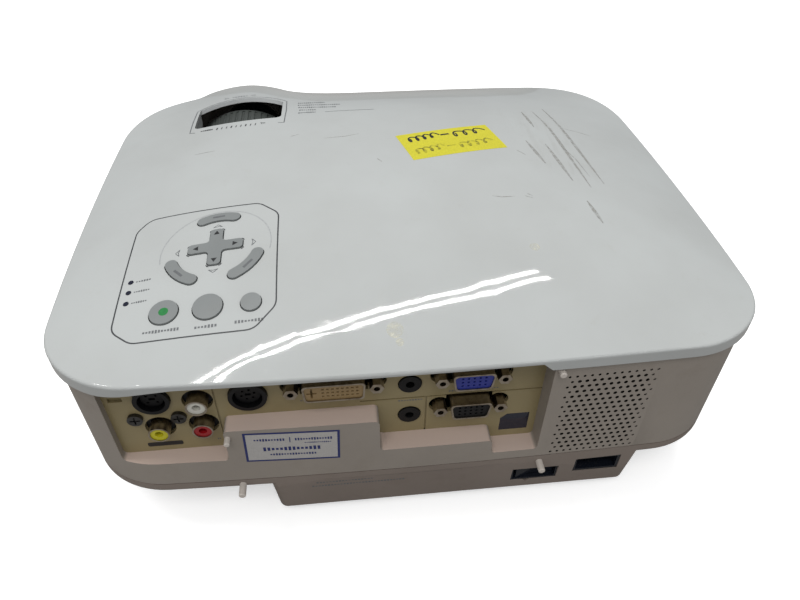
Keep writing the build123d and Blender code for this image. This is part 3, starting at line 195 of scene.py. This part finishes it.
def cover_gloss():
    """Glossy cover with faint clouds, dust, dark scuffs by one corner and fine scratches.

    The front wall of the lens window is painted paler, as painted light.
    """
    shader = Shader("cover_gloss", 0.05, ior=1.5)
    clean, dull = (0.445, 0.462, 0.458), (0.415, 0.428, 0.422)
    tint = shader.mix(shader.span(shader.noise(60, 4), 0.35, 0.65), clean, dull)
    stain = shader.span(shader.noise(9, 5, 0.7), 0.6, 0.82)
    tint = shader.mix(shader.math("MULTIPLY", stain, 0.16), tint, (0.33, 0.31, 0.26))
    scuffed = shader.box_mask((-84, -12), (22, 46), 6, 20)
    smear = shader.noise(5, 5, 0.7, shader.local(turn=-4, size=(1, 5, 1)))
    smear = shader.math("MULTIPLY", shader.span(smear, 0.5, 0.78), scuffed)
    tint = shader.mix(shader.math("MULTIPLY", smear, 0.35), tint, (0.26, 0.25, 0.22))
    dust = shader.specks(2.3, 0.055)
    tint = shader.mix(shader.math("MULTIPLY", dust, 0.4), tint, (0.27, 0.262, 0.24))
    scratches = shader.noise(1.2, 4, 0.6, shader.local(turn=35, size=(1, 26, 1)))
    scratches = shader.span(scratches, 0.66, 0.72)
    peel = shader.bump(shader.noise(9, 2), 0.003, strength=0.3)
    worn = shader.math("MAXIMUM", stain, smear)
    shader.set(
        Base_Color=tint,
        Roughness=shader.span(shader.math("ADD", worn, scratches), 0, 1, 0.04, 0.16),
        Normal=shader.bump(scratches, 0.005, peel, 0.3),
    )
    # Painted light: the faces of the lens window's front wall are painted near white.
    window_front = shader.box_mask((WINDOW_ARC[0], -82), (28, 11))
    painted_light_front_wall = shader.math("MULTIPLY", window_front, shader.span(shader.facing("Y"), 0.4, 0.7))
    shader.overlay(painted_light_front_wall, (0.84, 0.86, 0.86))
    return shader


def etched(name, colour):
    """Warm case plastic with a fine etched grain."""
    return plastic(name, colour, 0.55, 0.6, 0.03, 0.1, ior=1.35)


def case_grain_and_painted_light(colour):
    """Case plastic, with painted light from above: the faces that look up are painted paler and pinker."""
    shader = etched("case_grain_and_painted_light", colour)
    # Painted light: faces that look up are painted paler and pinker, as if lit from above.
    shader.overlay(shader.span(shader.facing("Z"), 0.6, 0.95, 0.0, 0.75), (0.66, 0.52, 0.45))
    return shader


def grille_grain_and_hole_shade(colour):
    """Case plastic, with painted shade in the holes: their sides are painted near black."""
    shader = etched("grille_grain_and_hole_shade", colour)
    # Painted shade: the sides of the holes, across the grille's face, are painted near black.
    side = shader.span(shader.math("ABSOLUTE", shader.facing("Y")), 0.75, 0.45)
    shader.overlay(side, (0.012, 0.011, 0.010))
    return shader


def board_mask():
    """Green circuit board with tracks, pads and a dull sheen."""
    shader = Shader("solder_mask", 0.35)
    tracks = shader.noise(1.6, 1, place=shader.local(size=(1, 6, 6)))
    tracks = shader.span(tracks, 0.5, 0.54)
    pads = shader.specks(4.2, 0.16)
    tint = shader.mix(tracks, (0.012, 0.075, 0.03), (0.02, 0.13, 0.05))
    shader.set(Base_Color=shader.mix(pads, tint, (0.5, 0.45, 0.3)), Normal=shader.bump(tracks, 0.03))
    return shader


def coated_glass(name, colour):
    """Clear glass with a coating and a little dust."""
    shader = Shader(name, 0.02, ior=1.52)
    dust = shader.specks(2.0, 0.05)
    haze = shader.span(shader.noise(8, 4), 0.4, 0.8)
    shader.set(
        Base_Color=shader.mix(haze, colour, tuple(c * 0.9 for c in colour)),
        Transmission_Weight=1.0,
        Coat_Weight=0.6,
        Coat_Tint=(0.55, 0.45, 0.9, 1.0),
        Roughness=shader.math("MULTIPLY_ADD", dust, 0.3, shader.math("MULTIPLY", haze, 0.03)),
    )
    return shader


def foam(name, colour):
    """Open foam or pressed paper: deep irregular pores."""
    shader = Shader(name, 0.95)
    pores = shader.noise(1.4, 4, 0.7)
    shader.set(
        Base_Color=shader.mix(shader.span(pores, 0.4, 0.6), tuple(c * 0.3 for c in colour), colour),
        Normal=shader.bump(pores, 0.5),
    )
    return shader


def sticker(name, colour, roughness):
    """Paper or film label: fibres, a little soiling, faint creases."""
    shader = Shader(name, roughness)
    fibres = shader.noise(0.5, 5, 0.7, shader.local(turn=12, size=(1, 3, 1)))
    soil = shader.span(shader.noise(11, 5), 0.5, 0.8)
    darker = tuple(c * 0.82 for c in colour)
    tint = shader.mix(shader.span(fibres, 0.35, 0.65), darker, colour)
    tint = shader.mix(shader.math("MULTIPLY", soil, 0.3), tint, tuple(c * 0.7 for c in colour))
    crease = shader.bump(shader.noise(16, 2), 0.25, strength=0.4)
    shader.set(Base_Color=tint, Normal=shader.bump(fibres, 0.02, crease))
    return shader


def ink(name, colour, gaps=0.0, grain_mm=1.2):
    """Printed or rubbed-on line. gaps from 0 to 1 is how broken it is."""
    shader = Shader(name, 0.5)
    patches = shader.noise(grain_mm, 4, 0.7)
    thin = tuple(c * 1.35 for c in colour)
    shader.set(Base_Color=shader.mix(shader.span(patches, 0.3, 0.7), colour, thin))
    if gaps:
        shader.set(Alpha=shader.span(patches, 0.25 + 0.3 * gaps, 0.75, 0.0, 0.85))
    return shader


def switch_black():
    """Rocker and its frame: glossy black with a blue tint."""
    return plastic("switch_black", (0.009, 0.011, 0.017), 0.2, 1.0, 0.01, 0.3)


# Warm case colour, set darker than the plastic is as painted shade for the dimly lit sides.
SHADED_CASE_COLOUR = (0.315, 0.280, 0.245)
finishes = {
    "cover": cover_gloss(),
    "case": case_grain_and_painted_light(SHADED_CASE_COLOUR),
    "dark_steel": metal("black_oxide", (0.10, 0.10, 0.10), 0.4),
    "foam": foam("filter_foam", (0.05, 0.05, 0.05)),
    "black_plastic": plastic("moulded_black", (0.006, 0.006, 0.007), 0.5, 0.6, 0.02, 0.25, ior=1.35),
    "dark_plastic": plastic("moulded_dark", (0.045, 0.045, 0.048), 0.42, 0.6, 0.03, 0.2),
    "key_grey": plastic("key_satin", (0.213, 0.226, 0.226), 0.4, 0.5, 0.02, 0.1),
    "lamp_window": plastic("smoked_window", (0.012, 0.014, 0.03), 0.08, 4.0, 0.01, 0.2),
    "board_green": board_mask(),
    "ring_grey": plastic("ring_satin", (0.055, 0.062, 0.058), 0.5, 0.5, 0.03, 0.2),
    "glass": coated_glass("lens_glass", (0.94, 0.96, 0.98)),
    "alloy": metal("cast_alloy", (0.55, 0.56, 0.58), 0.4),
    "mirror_coat": metal("cold_mirror", (0.8, 0.8, 0.85), 0.06),
    "plate_cream": plastic("plate_paint", (0.290, 0.235, 0.122), 0.36, 0.35, 0.03, 0.12),
    "nickel": metal("nickel", (0.44, 0.39, 0.32), 0.28, (6, 1, 6)),
    "yellow_plastic": plastic("cinch_yellow", (0.62, 0.56, 0.02), 0.3, 0.8, 0.01, 0.15),
    "white_plastic": plastic("cinch_white", (0.62, 0.61, 0.55), 0.3, 0.8, 0.01, 0.15),
    "red_plastic": plastic("cinch_red", (0.33, 0.008, 0.012), 0.3, 0.8, 0.01, 0.15),
    "cream_plastic": plastic("dvi_cream", (0.30, 0.20, 0.09), 0.4, 0.8, 0.01, 0.15),
    "blue_plastic": plastic("vga_blue", (0.02, 0.032, 0.26), 0.35, 0.8, 0.01, 0.15),
    "paper_cone": foam("paper_cone", (0.03, 0.03, 0.03)),
    "foot_grey": plastic("foot_rubber", (0.10, 0.105, 0.11), 0.6, 0.8, 0.05, 0.2),
}
for entry in frame["record"]["subparts"]:
    for slot in nodes[entry["node"]].material_slots:
        slot.material = finishes[entry["material_slot"]].material
black_gloss = switch_black()
own_finishes = {
    "power_switch": black_gloss,
    "switch_housing": black_gloss,
    "ac_inlet": black_gloss,
    "speaker_grille": grille_grain_and_hole_shade(SHADED_CASE_COLOUR),
    "cover_pegs": plastic("peg_satin", (0.60, 0.55, 0.50), 0.4, 0.6, 0.01, 0.08),
    "bottom_case": etched("case_base", (0.245, 0.205, 0.178)),
}
for node, shader in own_finishes.items():
    for slot in nodes[node].material_slots:
        slot.material = shader.material


# ---- Printed lines and stickers ----
class Skin:
    """Surface of a CAD node that decals lie on, seen from above or from behind, in mm."""

    def __init__(self, body, node, rear=False):
        self.body, self.rear = body, rear
        mesh = nodes[node].data
        points = [vertex.co.copy() for vertex in mesh.vertices]
        self.tree = BVHTree.FromPolygons(points, [list(face.vertices) for face in mesh.polygons])

    def at(self, u, v, lift):
        """Point on the surface, lifted off it. u, v are X, Y from above and X, Z from behind."""
        if self.rear:
            start, way = Vector((u * MM, 0.2, v * MM)), Vector((0, -1, 0))
        else:
            start, way = Vector((u * MM, v * MM, 0.2)), Vector((0, 0, -1))
        hit = self.tree.ray_cast(start, way)[0]
        return hit - way * lift * MM if hit else None

    def lay(self, name, points, faces, shader, slot, lift=0.03):
        """Mesh whose flat points are dropped on the surface. Faces off its edge are left out."""
        placed = [self.at(u, v, lift) for u, v in points]
        kept = [face for face in faces if all(placed[index] for index in face)]
        mesh = bpy.data.meshes.new(name)
        mesh.from_pydata([p or Vector() for p in placed], [], kept)
        mesh.validate()
        mesh.materials.append(shader.material)
        piece = bpy.data.objects.new(name, mesh)
        bpy.context.scene.collection.objects.link(piece)
        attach(piece, self.body)


def stroke(path, width, closed=False, step=0.8, taper=False):
    """Flat ribbon of a width along a path. Returns its points and faces."""
    ends = path + path[:1] if closed else path
    line = []
    for (x0, y0), (x1, y1) in zip(ends, ends[1:]):
        count = max(1, round(math.hypot(x1 - x0, y1 - y0) / step))
        line += [(x0 + (x1 - x0) * i / count, y0 + (y1 - y0) * i / count) for i in range(count)]
    if not closed:
        line.append(ends[-1])
    points, faces, total = [], [], len(line)
    for i, (x, y) in enumerate(line):
        before = line[i - 1] if i or closed else line[0]
        after = line[(i + 1) % total] if i + 1 < total or closed else line[-1]
        dx, dy = after[0] - before[0], after[1] - before[1]
        length = math.hypot(dx, dy) or 1.0
        half = width / 2
        if taper:
            half *= 0.25 + 0.75 * math.sin(math.pi * (i + 0.5) / total)
        aside_x, aside_y = -dy / length * half, dx / length * half
        points += [(x + aside_x, y + aside_y), (x - aside_x, y - aside_y)]
    for i in range(total if closed else total - 1):
        a, b = 2 * i, 2 * ((i + 1) % total)
        faces.append((a, b, b + 1, a + 1))
    return points, faces


def join(*strokes):
    """Puts several strokes into one set of points and faces."""
    points, faces = [], []
    for more_points, more_faces in strokes:
        start = len(points)
        points += more_points
        faces += [tuple(start + index for index in face) for face in more_faces]
    return points, faces


def rounded(corners, radius, steps=8):
    """Closed path with its corners rounded."""
    path = []
    for i, corner in enumerate(corners):
        here = Vector(corner)
        to_last = (Vector(corners[i - 1]) - here).normalized()
        to_next = (Vector(corners[(i + 1) % len(corners)]) - here).normalized()
        half_angle = to_last.angle(to_next) / 2
        reach = radius / math.tan(half_angle)
        start, end = here + to_last * reach, here + to_next * reach
        for k in range(steps + 1):
            t = k / steps
            point = start * (1 - t) ** 2 + here * (2 * t * (1 - t)) + end * t**2
            path.append(tuple(point))
    return path


def arc(x, y, radius, start, end, steps=48):
    """Open path along part of a circle, in degrees."""
    angles = [math.radians(start + (end - start) * k / steps) for k in range(steps + 1)]
    return [(x + radius * math.cos(a), y + radius * math.sin(a)) for a in angles]


def turned(centre, points, degrees):
    """Points turned about the origin and moved to a centre."""
    cos, sin = math.cos(math.radians(degrees)), math.sin(math.radians(degrees))
    return [(centre[0] + u * cos - v * sin, centre[1] + u * sin + v * cos) for u, v in points]


def patch(centre, width, height, turn=0.0, columns=40, rows=16):
    """Turned rectangle as a grid."""
    grid = []
    for row in range(rows + 1):
        for column in range(columns + 1):
            grid.append((width * (column / columns - 0.5), height * (row / rows - 0.5)))
    faces = []
    for row in range(rows):
        for column in range(columns):
            a = row * (columns + 1) + column
            faces.append((a, a + 1, a + columns + 2, a + columns + 1))
    return turned(centre, grid, turn), faces


def disc(x, y, radius, steps=24):
    """Round spot."""
    return arc(x, y, radius, 0, 360 - 360 / steps, steps - 1), [tuple(range(steps))]


def bars(start, end, height, count, gap=0.35):
    """Row of short upright bars, a stand-in for a printed caption."""
    strokes = []
    for k in range(count):
        t = (k + 0.5) / count
        x, y = start[0] + (end[0] - start[0]) * t, start[1] + (end[1] - start[1]) * t
        width = abs(end[0] - start[0]) / count * (1 - gap)
        tall = height * (0.75 + 0.25 * math.sin(7.3 * k + start[0]))
        strokes.append(patch((x, y), width, tall, columns=2, rows=2))
    return join(*strokes)


top = Skin("chassis", "top_cover")
grey_ink = ink("print_grey", (0.10, 0.105, 0.11))
pale_ink = ink("print_pale", (0.28, 0.29, 0.295))
black_ink = ink("print_black", (0.012, 0.012, 0.013))
# Dark ink for print, also used as painted shade in the gaps round the keys.
dark_ink_and_shade = ink("print_and_shade_dark", (0.035, 0.037, 0.04))

# Key panel: its printed border, a ring round the pad, and a dark line round each key, which is painted
# shade for the gap round the key.
panel_corners = [(111.5, 35), (62.4, 37.3), (53.7, 46), (54, 97)]
panel_corners += [(62.6, 106.8), (108.5, 107.4), (116.8, 100.6), (116.7, 42.2)]
top.lay("key_panel_line", *stroke(rounded(panel_corners, 7.0), 0.6, True), dark_ink_and_shade, "key_grey")
top.lay("key_circle_line", *stroke(arc(*PAD, 23.2, 12, -192), 0.4), pale_ink, "key_grey")
round_keys = ((97.3, 94.8, 6.05), (80.4, 94.8, 6.25), (63.7, 94.8, 4.45))
# Painted shade: dark lines round each key stand in for the shadow in the gap round it.
key_gap_shade_lines = [stroke(arc(x, y, radius, 0, 352.5, 47), 0.5, True) for x, y, radius in round_keys]
for _, angle in CURVED_KEYS:
    ends = []
    for way, start in ((-1, 180), (1, 0)):  # rounded ends, 21 degrees to either side
        side = angle + 21 * way
        (centre,) = turned(PAD, [(KEY_ORBIT, 0)], side)
        ends.append(arc(*centre, KEY_HALF, side + start, side + start + 180, 12))
    rim_in = arc(*PAD, KEY_ORBIT - KEY_HALF, angle - 20, angle + 20, 16)
    rim_out = arc(*PAD, KEY_ORBIT + KEY_HALF, angle - 20, angle + 20, 16)
    key_gap_shade_lines.append(stroke(rim_out + ends[1] + rim_in[::-1] + ends[0], 0.45, True))
arm, reach_x, reach_y = 3.15, 11.85, 11.05
plus = [(arm, arm), (arm, reach_y), (-arm, reach_y), (-arm, arm), (-reach_x, arm), (-reach_x, -arm)]
plus += [(-arm, -arm), (-arm, -reach_y), (arm, -reach_y), (arm, -arm), (reach_x, -arm), (reach_x, arm)]
key_gap_shade_lines.append(stroke(rounded(turned(PAD, plus, 0), 1.5), 0.45, True))
top.lay("key_gap_painted_shade", *join(*key_gap_shade_lines), dark_ink_and_shade, "key_grey")
captions = [
    bars((111.2, 75.6), (104.9, 75.4), 1.1, 6),
    bars((111.2, 81.3), (104.6, 81.1), 1.1, 7),
    bars((111.2, 87.2), (104.9, 87.0), 1.1, 7),
    bars((104.5, 103.2), (90.5, 103.1), 1.5, 12),
    bars((85.0, 103.6), (76.2, 103.4), 1.5, 7),
    bars((69.9, 103.0), (58.6, 102.8), 1.4, 9),
]
top.lay("key_captions", *join(*captions), grey_ink, "key_grey")
signs = []
chevron = [(-2.0, 0.8), (0, -0.9), (2.0, 0.8), (0, 0.3)]
for x, y, turn in ((PAD[0], 49.6, 0), (PAD[0], 76.6, 180), (95.6, PAD[1], 90), (63.8, PAD[1], 270)):
    signs.append(stroke(turned((x, y), chevron, turn), 0.3, True, 0.5))
top.lay("pad_signs", *join(*signs), grey_ink, "key_grey")

arrow = [(9.4, 0), (7.2, 1.25), (7.2, -1.25)]
arrows = [(turned(PAD, arrow, turn), [(0, 1, 2)]) for turn in (0, 90, 180, 270)]
Skin("select_key", "select_pad").lay("pad_arrows", *join(*arrows), black_ink, "key_grey")
Skin("power_button", "power_button").lay(
    "power_dot", *disc(97.3, 94.8, 1.9), ink("print_green", (0.006, 0.15, 0.03)), "key_grey"
)
for name, angle in CURVED_KEYS:
    mark = stroke(turned(PAD, [(KEY_ORBIT, -2.6), (KEY_ORBIT, 2.6)], angle), 1.1)
    Skin(name, name).lay(name + "_mark", *mark, grey_ink, "key_grey")

# Frame, scale and sign printed round the lens window, and rows beside it.
window_path = [(101.8, -44.7), (104.9, -46.0), (105.2, -62.0), (105.1, -77.0)]
window_path += arc(*WINDOW_ARC, 31.4, -36, -144, 30)
window_path += [(53.4, -77.0), (53.0, -60.0), (53.6, -40.3), (56.8, -40.9)]
top.lay("window_line", *stroke(window_path, 0.55), grey_ink, "cover")
scale = []
for k in range(9):
    tick = [(89.6 - 2.6 * k, -45.4 + 0.25 * k), (89.9 - 2.6 * k, -42.9 + 0.25 * k)]
    scale.append(stroke(tick, 0.5 + 0.25 * (k % 3 == 0)))
scale.append(bars((98.9, -45.2), (92.0, -44.6), 1.7, 6, 0.2))
scale.append(stroke([(63.6, -42.6), (66.2, -43.6), (65.4, -41.5)], 0.35, True, 0.5))
top.lay("window_scale", *join(*scale), black_ink, "cover")
focus = [bars((86.8, -94.8), (77.2, -94.8), 2.2, 6)]
for x, way in ((88.5, 1), (75.5, -1)):
    focus.append(stroke([(x, -94.8), (x + way * 2.4, -93.4), (x + way * 2.4, -96.2)], 0.35, True, 0.5))
top.lay("focus_sign", *join(*focus), grey_ink, "cover")
notice = [
    bars((47.0, -72.0), (31.5, -71.6), 2.4, 14),
    bars((47.0, -67.5), (23.0, -65.5), 2.2, 20),
    bars((46.6, -62.8), (25.4, -60.6), 2.2, 18),
    bars((46.0, -57.8), (36.6, -56.9), 2.0, 8),
    bars((46.4, -53.1), (36.6, -52.8), 2.2, 9),
    stroke([(31.6, -52.4), (4.6, -52.5)], 0.5),
]
top.lay("notice_rows", *join(*notice), grey_ink, "cover")

# Yellow note with two rows of pen strokes that say nothing.
note_paper = sticker("note_yellow", (0.595, 0.55, 0.022), 0.55)
top.lay("note_label", *patch((-31.0, -7.6), 50.5, 26.2, NOTE_TURN), note_paper, "yellow_plastic", 0.05)


def scrawl(start, length, height, waves):
    """Looped pen stroke along the note."""
    path = []
    for k in range(waves * 14 + 1):
        phase = 2 * math.pi * k / 14
        u = length * k / (waves * 14) + 0.34 * length / waves * math.cos(phase)
        v = height / 2 * math.sin(phase) * (0.72 + 0.28 * math.sin(0.9 * phase))
        path.append((-u, v))
    return stroke(turned(start, path, NOTE_TURN), 0.95, step=0.4)


pen = join(
    scrawl((-9.0, -9.8), 16.0, 6.4, 4),
    stroke([(-26.4, -13.9), (-31.0, -15.0)], 1.3),
    scrawl((-32.5, -15.4), 17.0, 7.0, 3),
)
top.lay("note_pen_dark", *pen, black_ink, "yellow_plastic", 0.08)
pen = join(
    scrawl((-11.5, 2.4), 15.0, 6.6, 4),
    stroke([(-28.0, -1.9), (-32.8, -3.1)], 0.9),
    scrawl((-34.0, -3.4), 18.0, 6.4, 4),
)
pen_grey = ink("pen_grey", (0.075, 0.07, 0.025), 0.3, 2.0)
top.lay("note_pen_light", *pen, pen_grey, "yellow_plastic", 0.08)

# Scuffs beside the note, scratches about the cover, and spots of old glue.
scuff_ink = ink("scuff", (0.26, 0.255, 0.235), 0.2, 2.2)
scuff_paths = [
    [(-78.1, -48.6), (-78.9, -38.0), (-79.6, -27.2)],
    [(-84.8, -51.8), (-86.9, -38.0), (-88.4, -26.8), (-90.2, 9.1), (-91.9, 32.2)],
    [(-92.7, -57.3), (-95.6, -32.7), (-97.8, -0.8), (-100.2, 27.5)],
    [(-70.4, -9.7), (-74.6, 13.4)],
    [(-80.3, -7.6), (-83.4, 20.9), (-84.2, 27.9)],
    [(-86.0, 44.0), (-88.4, 60.0)],
]
top.lay("scuffs", *join(*[stroke(path, 1.9, taper=True) for path in scuff_paths]), scuff_ink, "cover", 0.02)
fine_paths = [
    [(-96.4, -29.7), (-104.0, -27.6), (-111.7, -24.8)],
    [(-62.6, 1.2), (-66.4, 5.9)],
    [(-41.4, 42.7), (-46.0, 43.5), (-51.9, 43.0)],
    [(-56.8, 42.5), (-60.2, 44.0)],
    [(-58.0, 40.6), (-60.4, 42.2)],
    [(-88.0, -10.0), (-92.6, 6.0), (-94.6, 22.0)],
    [(32.7, -16.2), (22.0, -16.8), (14.8, -18.9)],
    [(98.4, -17.7), (87.9, -17.5)],
    [(50.0, -21.4), (45.4, -23.2)],
    [(7.7, 8.0), (5.6, 11.1)],
]
scratch_lines = [stroke(path, 0.6, taper=True) for path in fine_paths]
top.lay("scratch_lines", *join(*scratch_lines), scuff_ink, "cover", 0.02)
glue = ink("old_glue", (0.56, 0.55, 0.46), 0.35, 3.0)
glue_spots = [disc(9.4, 111.5, 3.3), disc(8.0, 116.5, 1.6), disc(-53.0, 76.0, 2.2)]
top.lay("glue_spot", *join(*glue_spots), glue, "cover", 0.02)

# Sticker with a dark blue border on the ledge, and the rows on the plate and the platform.
rear = Skin("chassis", "middle_case", rear=True)
blue_ink = ink("print_blue", (0.012, 0.02, 0.11))
white_paper = sticker("sticker_white", (0.48, 0.465, 0.45), 0.5)
for name, width, height, paper, lift in (
    ("ledge_sticker_edge", 38.4, 18.8, blue_ink, 0.05),
    ("ledge_sticker", 36.4, 16.8, white_paper, 0.08),
):
    rear.lay(name, *patch((52.4, 54.2), width, height, LEDGE_TURN), paper, "white_plastic", lift)
sticker_rows = [
    bars((67.5, 59.6), (55.0, 59.0), 1.7, 11),
    stroke([(53.0, 60.4), (53.1, 57.0)], 0.4),
    bars((51.2, 58.8), (36.0, 58.2), 1.7, 14),
    bars((47.5, 56.2), (36.6, 55.8), 0.9, 14),
    bars((64.5, 53.4), (41.0, 52.4), 2.6, 14),
    bars((62.0, 49.6), (43.0, 48.8), 1.5, 17),
]
rear.lay("ledge_sticker_rows", *join(*sticker_rows), blue_ink, "white_plastic", 0.1)
plate = Skin("chassis", "connector_plate", rear=True)
pill = rounded([(111.6, 50.2), (97.4, 50.2), (97.4, 52.8), (111.6, 52.8)], 0.9)
plate.lay("plate_caption", pill, [tuple(range(len(pill)))], black_ink, "plate_cream", 0.04)
plate_rows = [
    bars((83.5, 52.0), (81.9, 52.0), 1.0, 2),
    bars((8.6, 67.2), (-1.6, 67.2), 1.0, 9),
    bars((-12.0, 71.0), (-33.0, 71.0), 1.0, 18),
    bars((10.0, 86.6), (0.0, 86.6), 1.0, 8),
    bars((48.0, 71.9), (26.0, 71.9), 1.0, 16),
]
plate.lay("plate_captions", *join(*plate_rows), grey_ink, "plate_cream", 0.03)
platform = Skin("chassis", "bottom_case", rear=True)
platform_rows = [bars((45.0, 26.4), (20.0, 26.4), 1.0, 18), bars((47.0, 23.6), (6.0, 23.6), 1.2, 30)]
platform.lay("platform_captions", *join(*platform_rows), grey_ink, "case", 0.03)

# ---- Floor, light and camera ----
floor_mesh = bpy.data.meshes.new("floor")
floor_mesh.from_pydata([(-4, -4, 0), (4, -4, 0), (4, 4, 0), (-4, 4, 0)], [], [(0, 1, 2, 3)])
floor = bpy.data.objects.new("floor", floor_mesh)
bpy.context.scene.collection.objects.link(floor)
floor_shader = Shader("floor_paper", 0.9)
# The camera sees a bright sheet, and the object gets only a little light back from it.
camera_ray = floor_shader.tree.nodes.new("ShaderNodeLightPath").outputs["Is Camera Ray"]
sheet = floor_shader.mix(floor_shader.noise(300, 3), (0.86, 0.86, 0.86), (0.9, 0.9, 0.9))
floor_shader.set(
    Base_Color=floor_shader.mix(camera_ray, (0.28, 0.27, 0.26), sheet),
    Emission_Color=(1.0, 1.0, 1.0, 1.0),
    Emission_Strength=floor_shader.math("MULTIPLY", camera_ray, 0.5),
)
floor_mesh.materials.append(floor_shader.material)


def area_light(name, place, target, size, power, colour):
    """Rectangular light that faces a target."""
    light = bpy.data.lights.new(name, "AREA")
    light.shape = "RECTANGLE"
    light.size, light.size_y = size
    light.energy = power
    light.color = colour
    lamp = bpy.data.objects.new(name, light)
    lamp.location = place
    lamp.rotation_euler = (Vector(target) - Vector(place)).to_track_quat("-Z", "Y").to_euler()
    bpy.context.scene.collection.objects.link(lamp)
    return lamp


# Two rows of ceiling tubes, end to end along a bent line. The cover reflects them as twin lines.
TUBE_ENDS = ((1.00, 0.11), (0.43, -0.04), (0.13, -0.12), (-0.33, -0.33), (-0.66, -0.56))
TUBE_HEIGHT, TUBE_WIDTH, WATTS_PER_METRE, ROW_SHIFT = 1.5, 0.020, 4.0, 0.03
for number, ((x0, y0), (x1, y1)) in enumerate(zip(TUBE_ENDS, TUBE_ENDS[1:])):
    length, turn = math.hypot(x1 - x0, y1 - y0), math.atan2(y1 - y0, x1 - x0)
    for row, shift in (("near", -ROW_SHIFT), ("far", ROW_SHIFT)):
        x, y = (x0 + x1) / 2 - shift * math.sin(turn), (y0 + y1) / 2 + shift * math.cos(turn)
        size, power = (length, TUBE_WIDTH), WATTS_PER_METRE * length
        place = (x, y, TUBE_HEIGHT)
        tube = area_light(f"tube_{row}_{number}", place, (x, y, 0), size, power, (1.0, 0.99, 0.97))
        tube.rotation_euler = (0, 0, turn)
fill = area_light("rear_fill", (0.2, 1.0, 1.75), (0, 0.1, 0.05), (1.2, 0.6), 10.5, (1.0, 0.975, 0.95))
fill.visible_glossy = False

world = bpy.data.worlds.new("studio")
bpy.context.scene.world = world
world.use_nodes = True
room, links = world.node_tree.nodes, world.node_tree.links
lit_room, dim_room = room["Background"], room.new("ShaderNodeBackground")
lit_room.inputs["Color"].default_value = (0.93, 0.95, 0.97, 1)
lit_room.inputs["Strength"].default_value = 0.56
# Reflections see a dimmer room, so that the far edge of the cover stands out from the floor.
dim_room.inputs["Color"].default_value = (0.80, 0.84, 0.88, 1)
dim_room.inputs["Strength"].default_value = 0.36
chooser, ray = room.new("ShaderNodeMixShader"), room.new("ShaderNodeLightPath")
links.new(ray.outputs["Is Glossy Ray"], chooser.inputs[0])
links.new(lit_room.outputs[0], chooser.inputs[1])
links.new(dim_room.outputs[0], chooser.inputs[2])
links.new(chooser.outputs[0], room["World Output"].inputs["Surface"])
bpy.context.scene.view_settings.view_transform = "Standard"

camera_data = bpy.data.cameras.new("camera")
camera_data.lens = 29.6
camera = bpy.data.objects.new("camera", camera_data)
bpy.context.scene.collection.objects.link(camera)
camera.location = (0.0281, 0.2894, 0.2762)
aim = Vector((-0.0044, 0.0070, 0.0240)) - camera.location
camera.rotation_mode = "QUATERNION"
camera.rotation_quaternion = aim.to_track_quat("-Z", "Y") @ Quaternion((0, 0, 1), math.radians(0.73))
bpy.context.scene.camera = camera
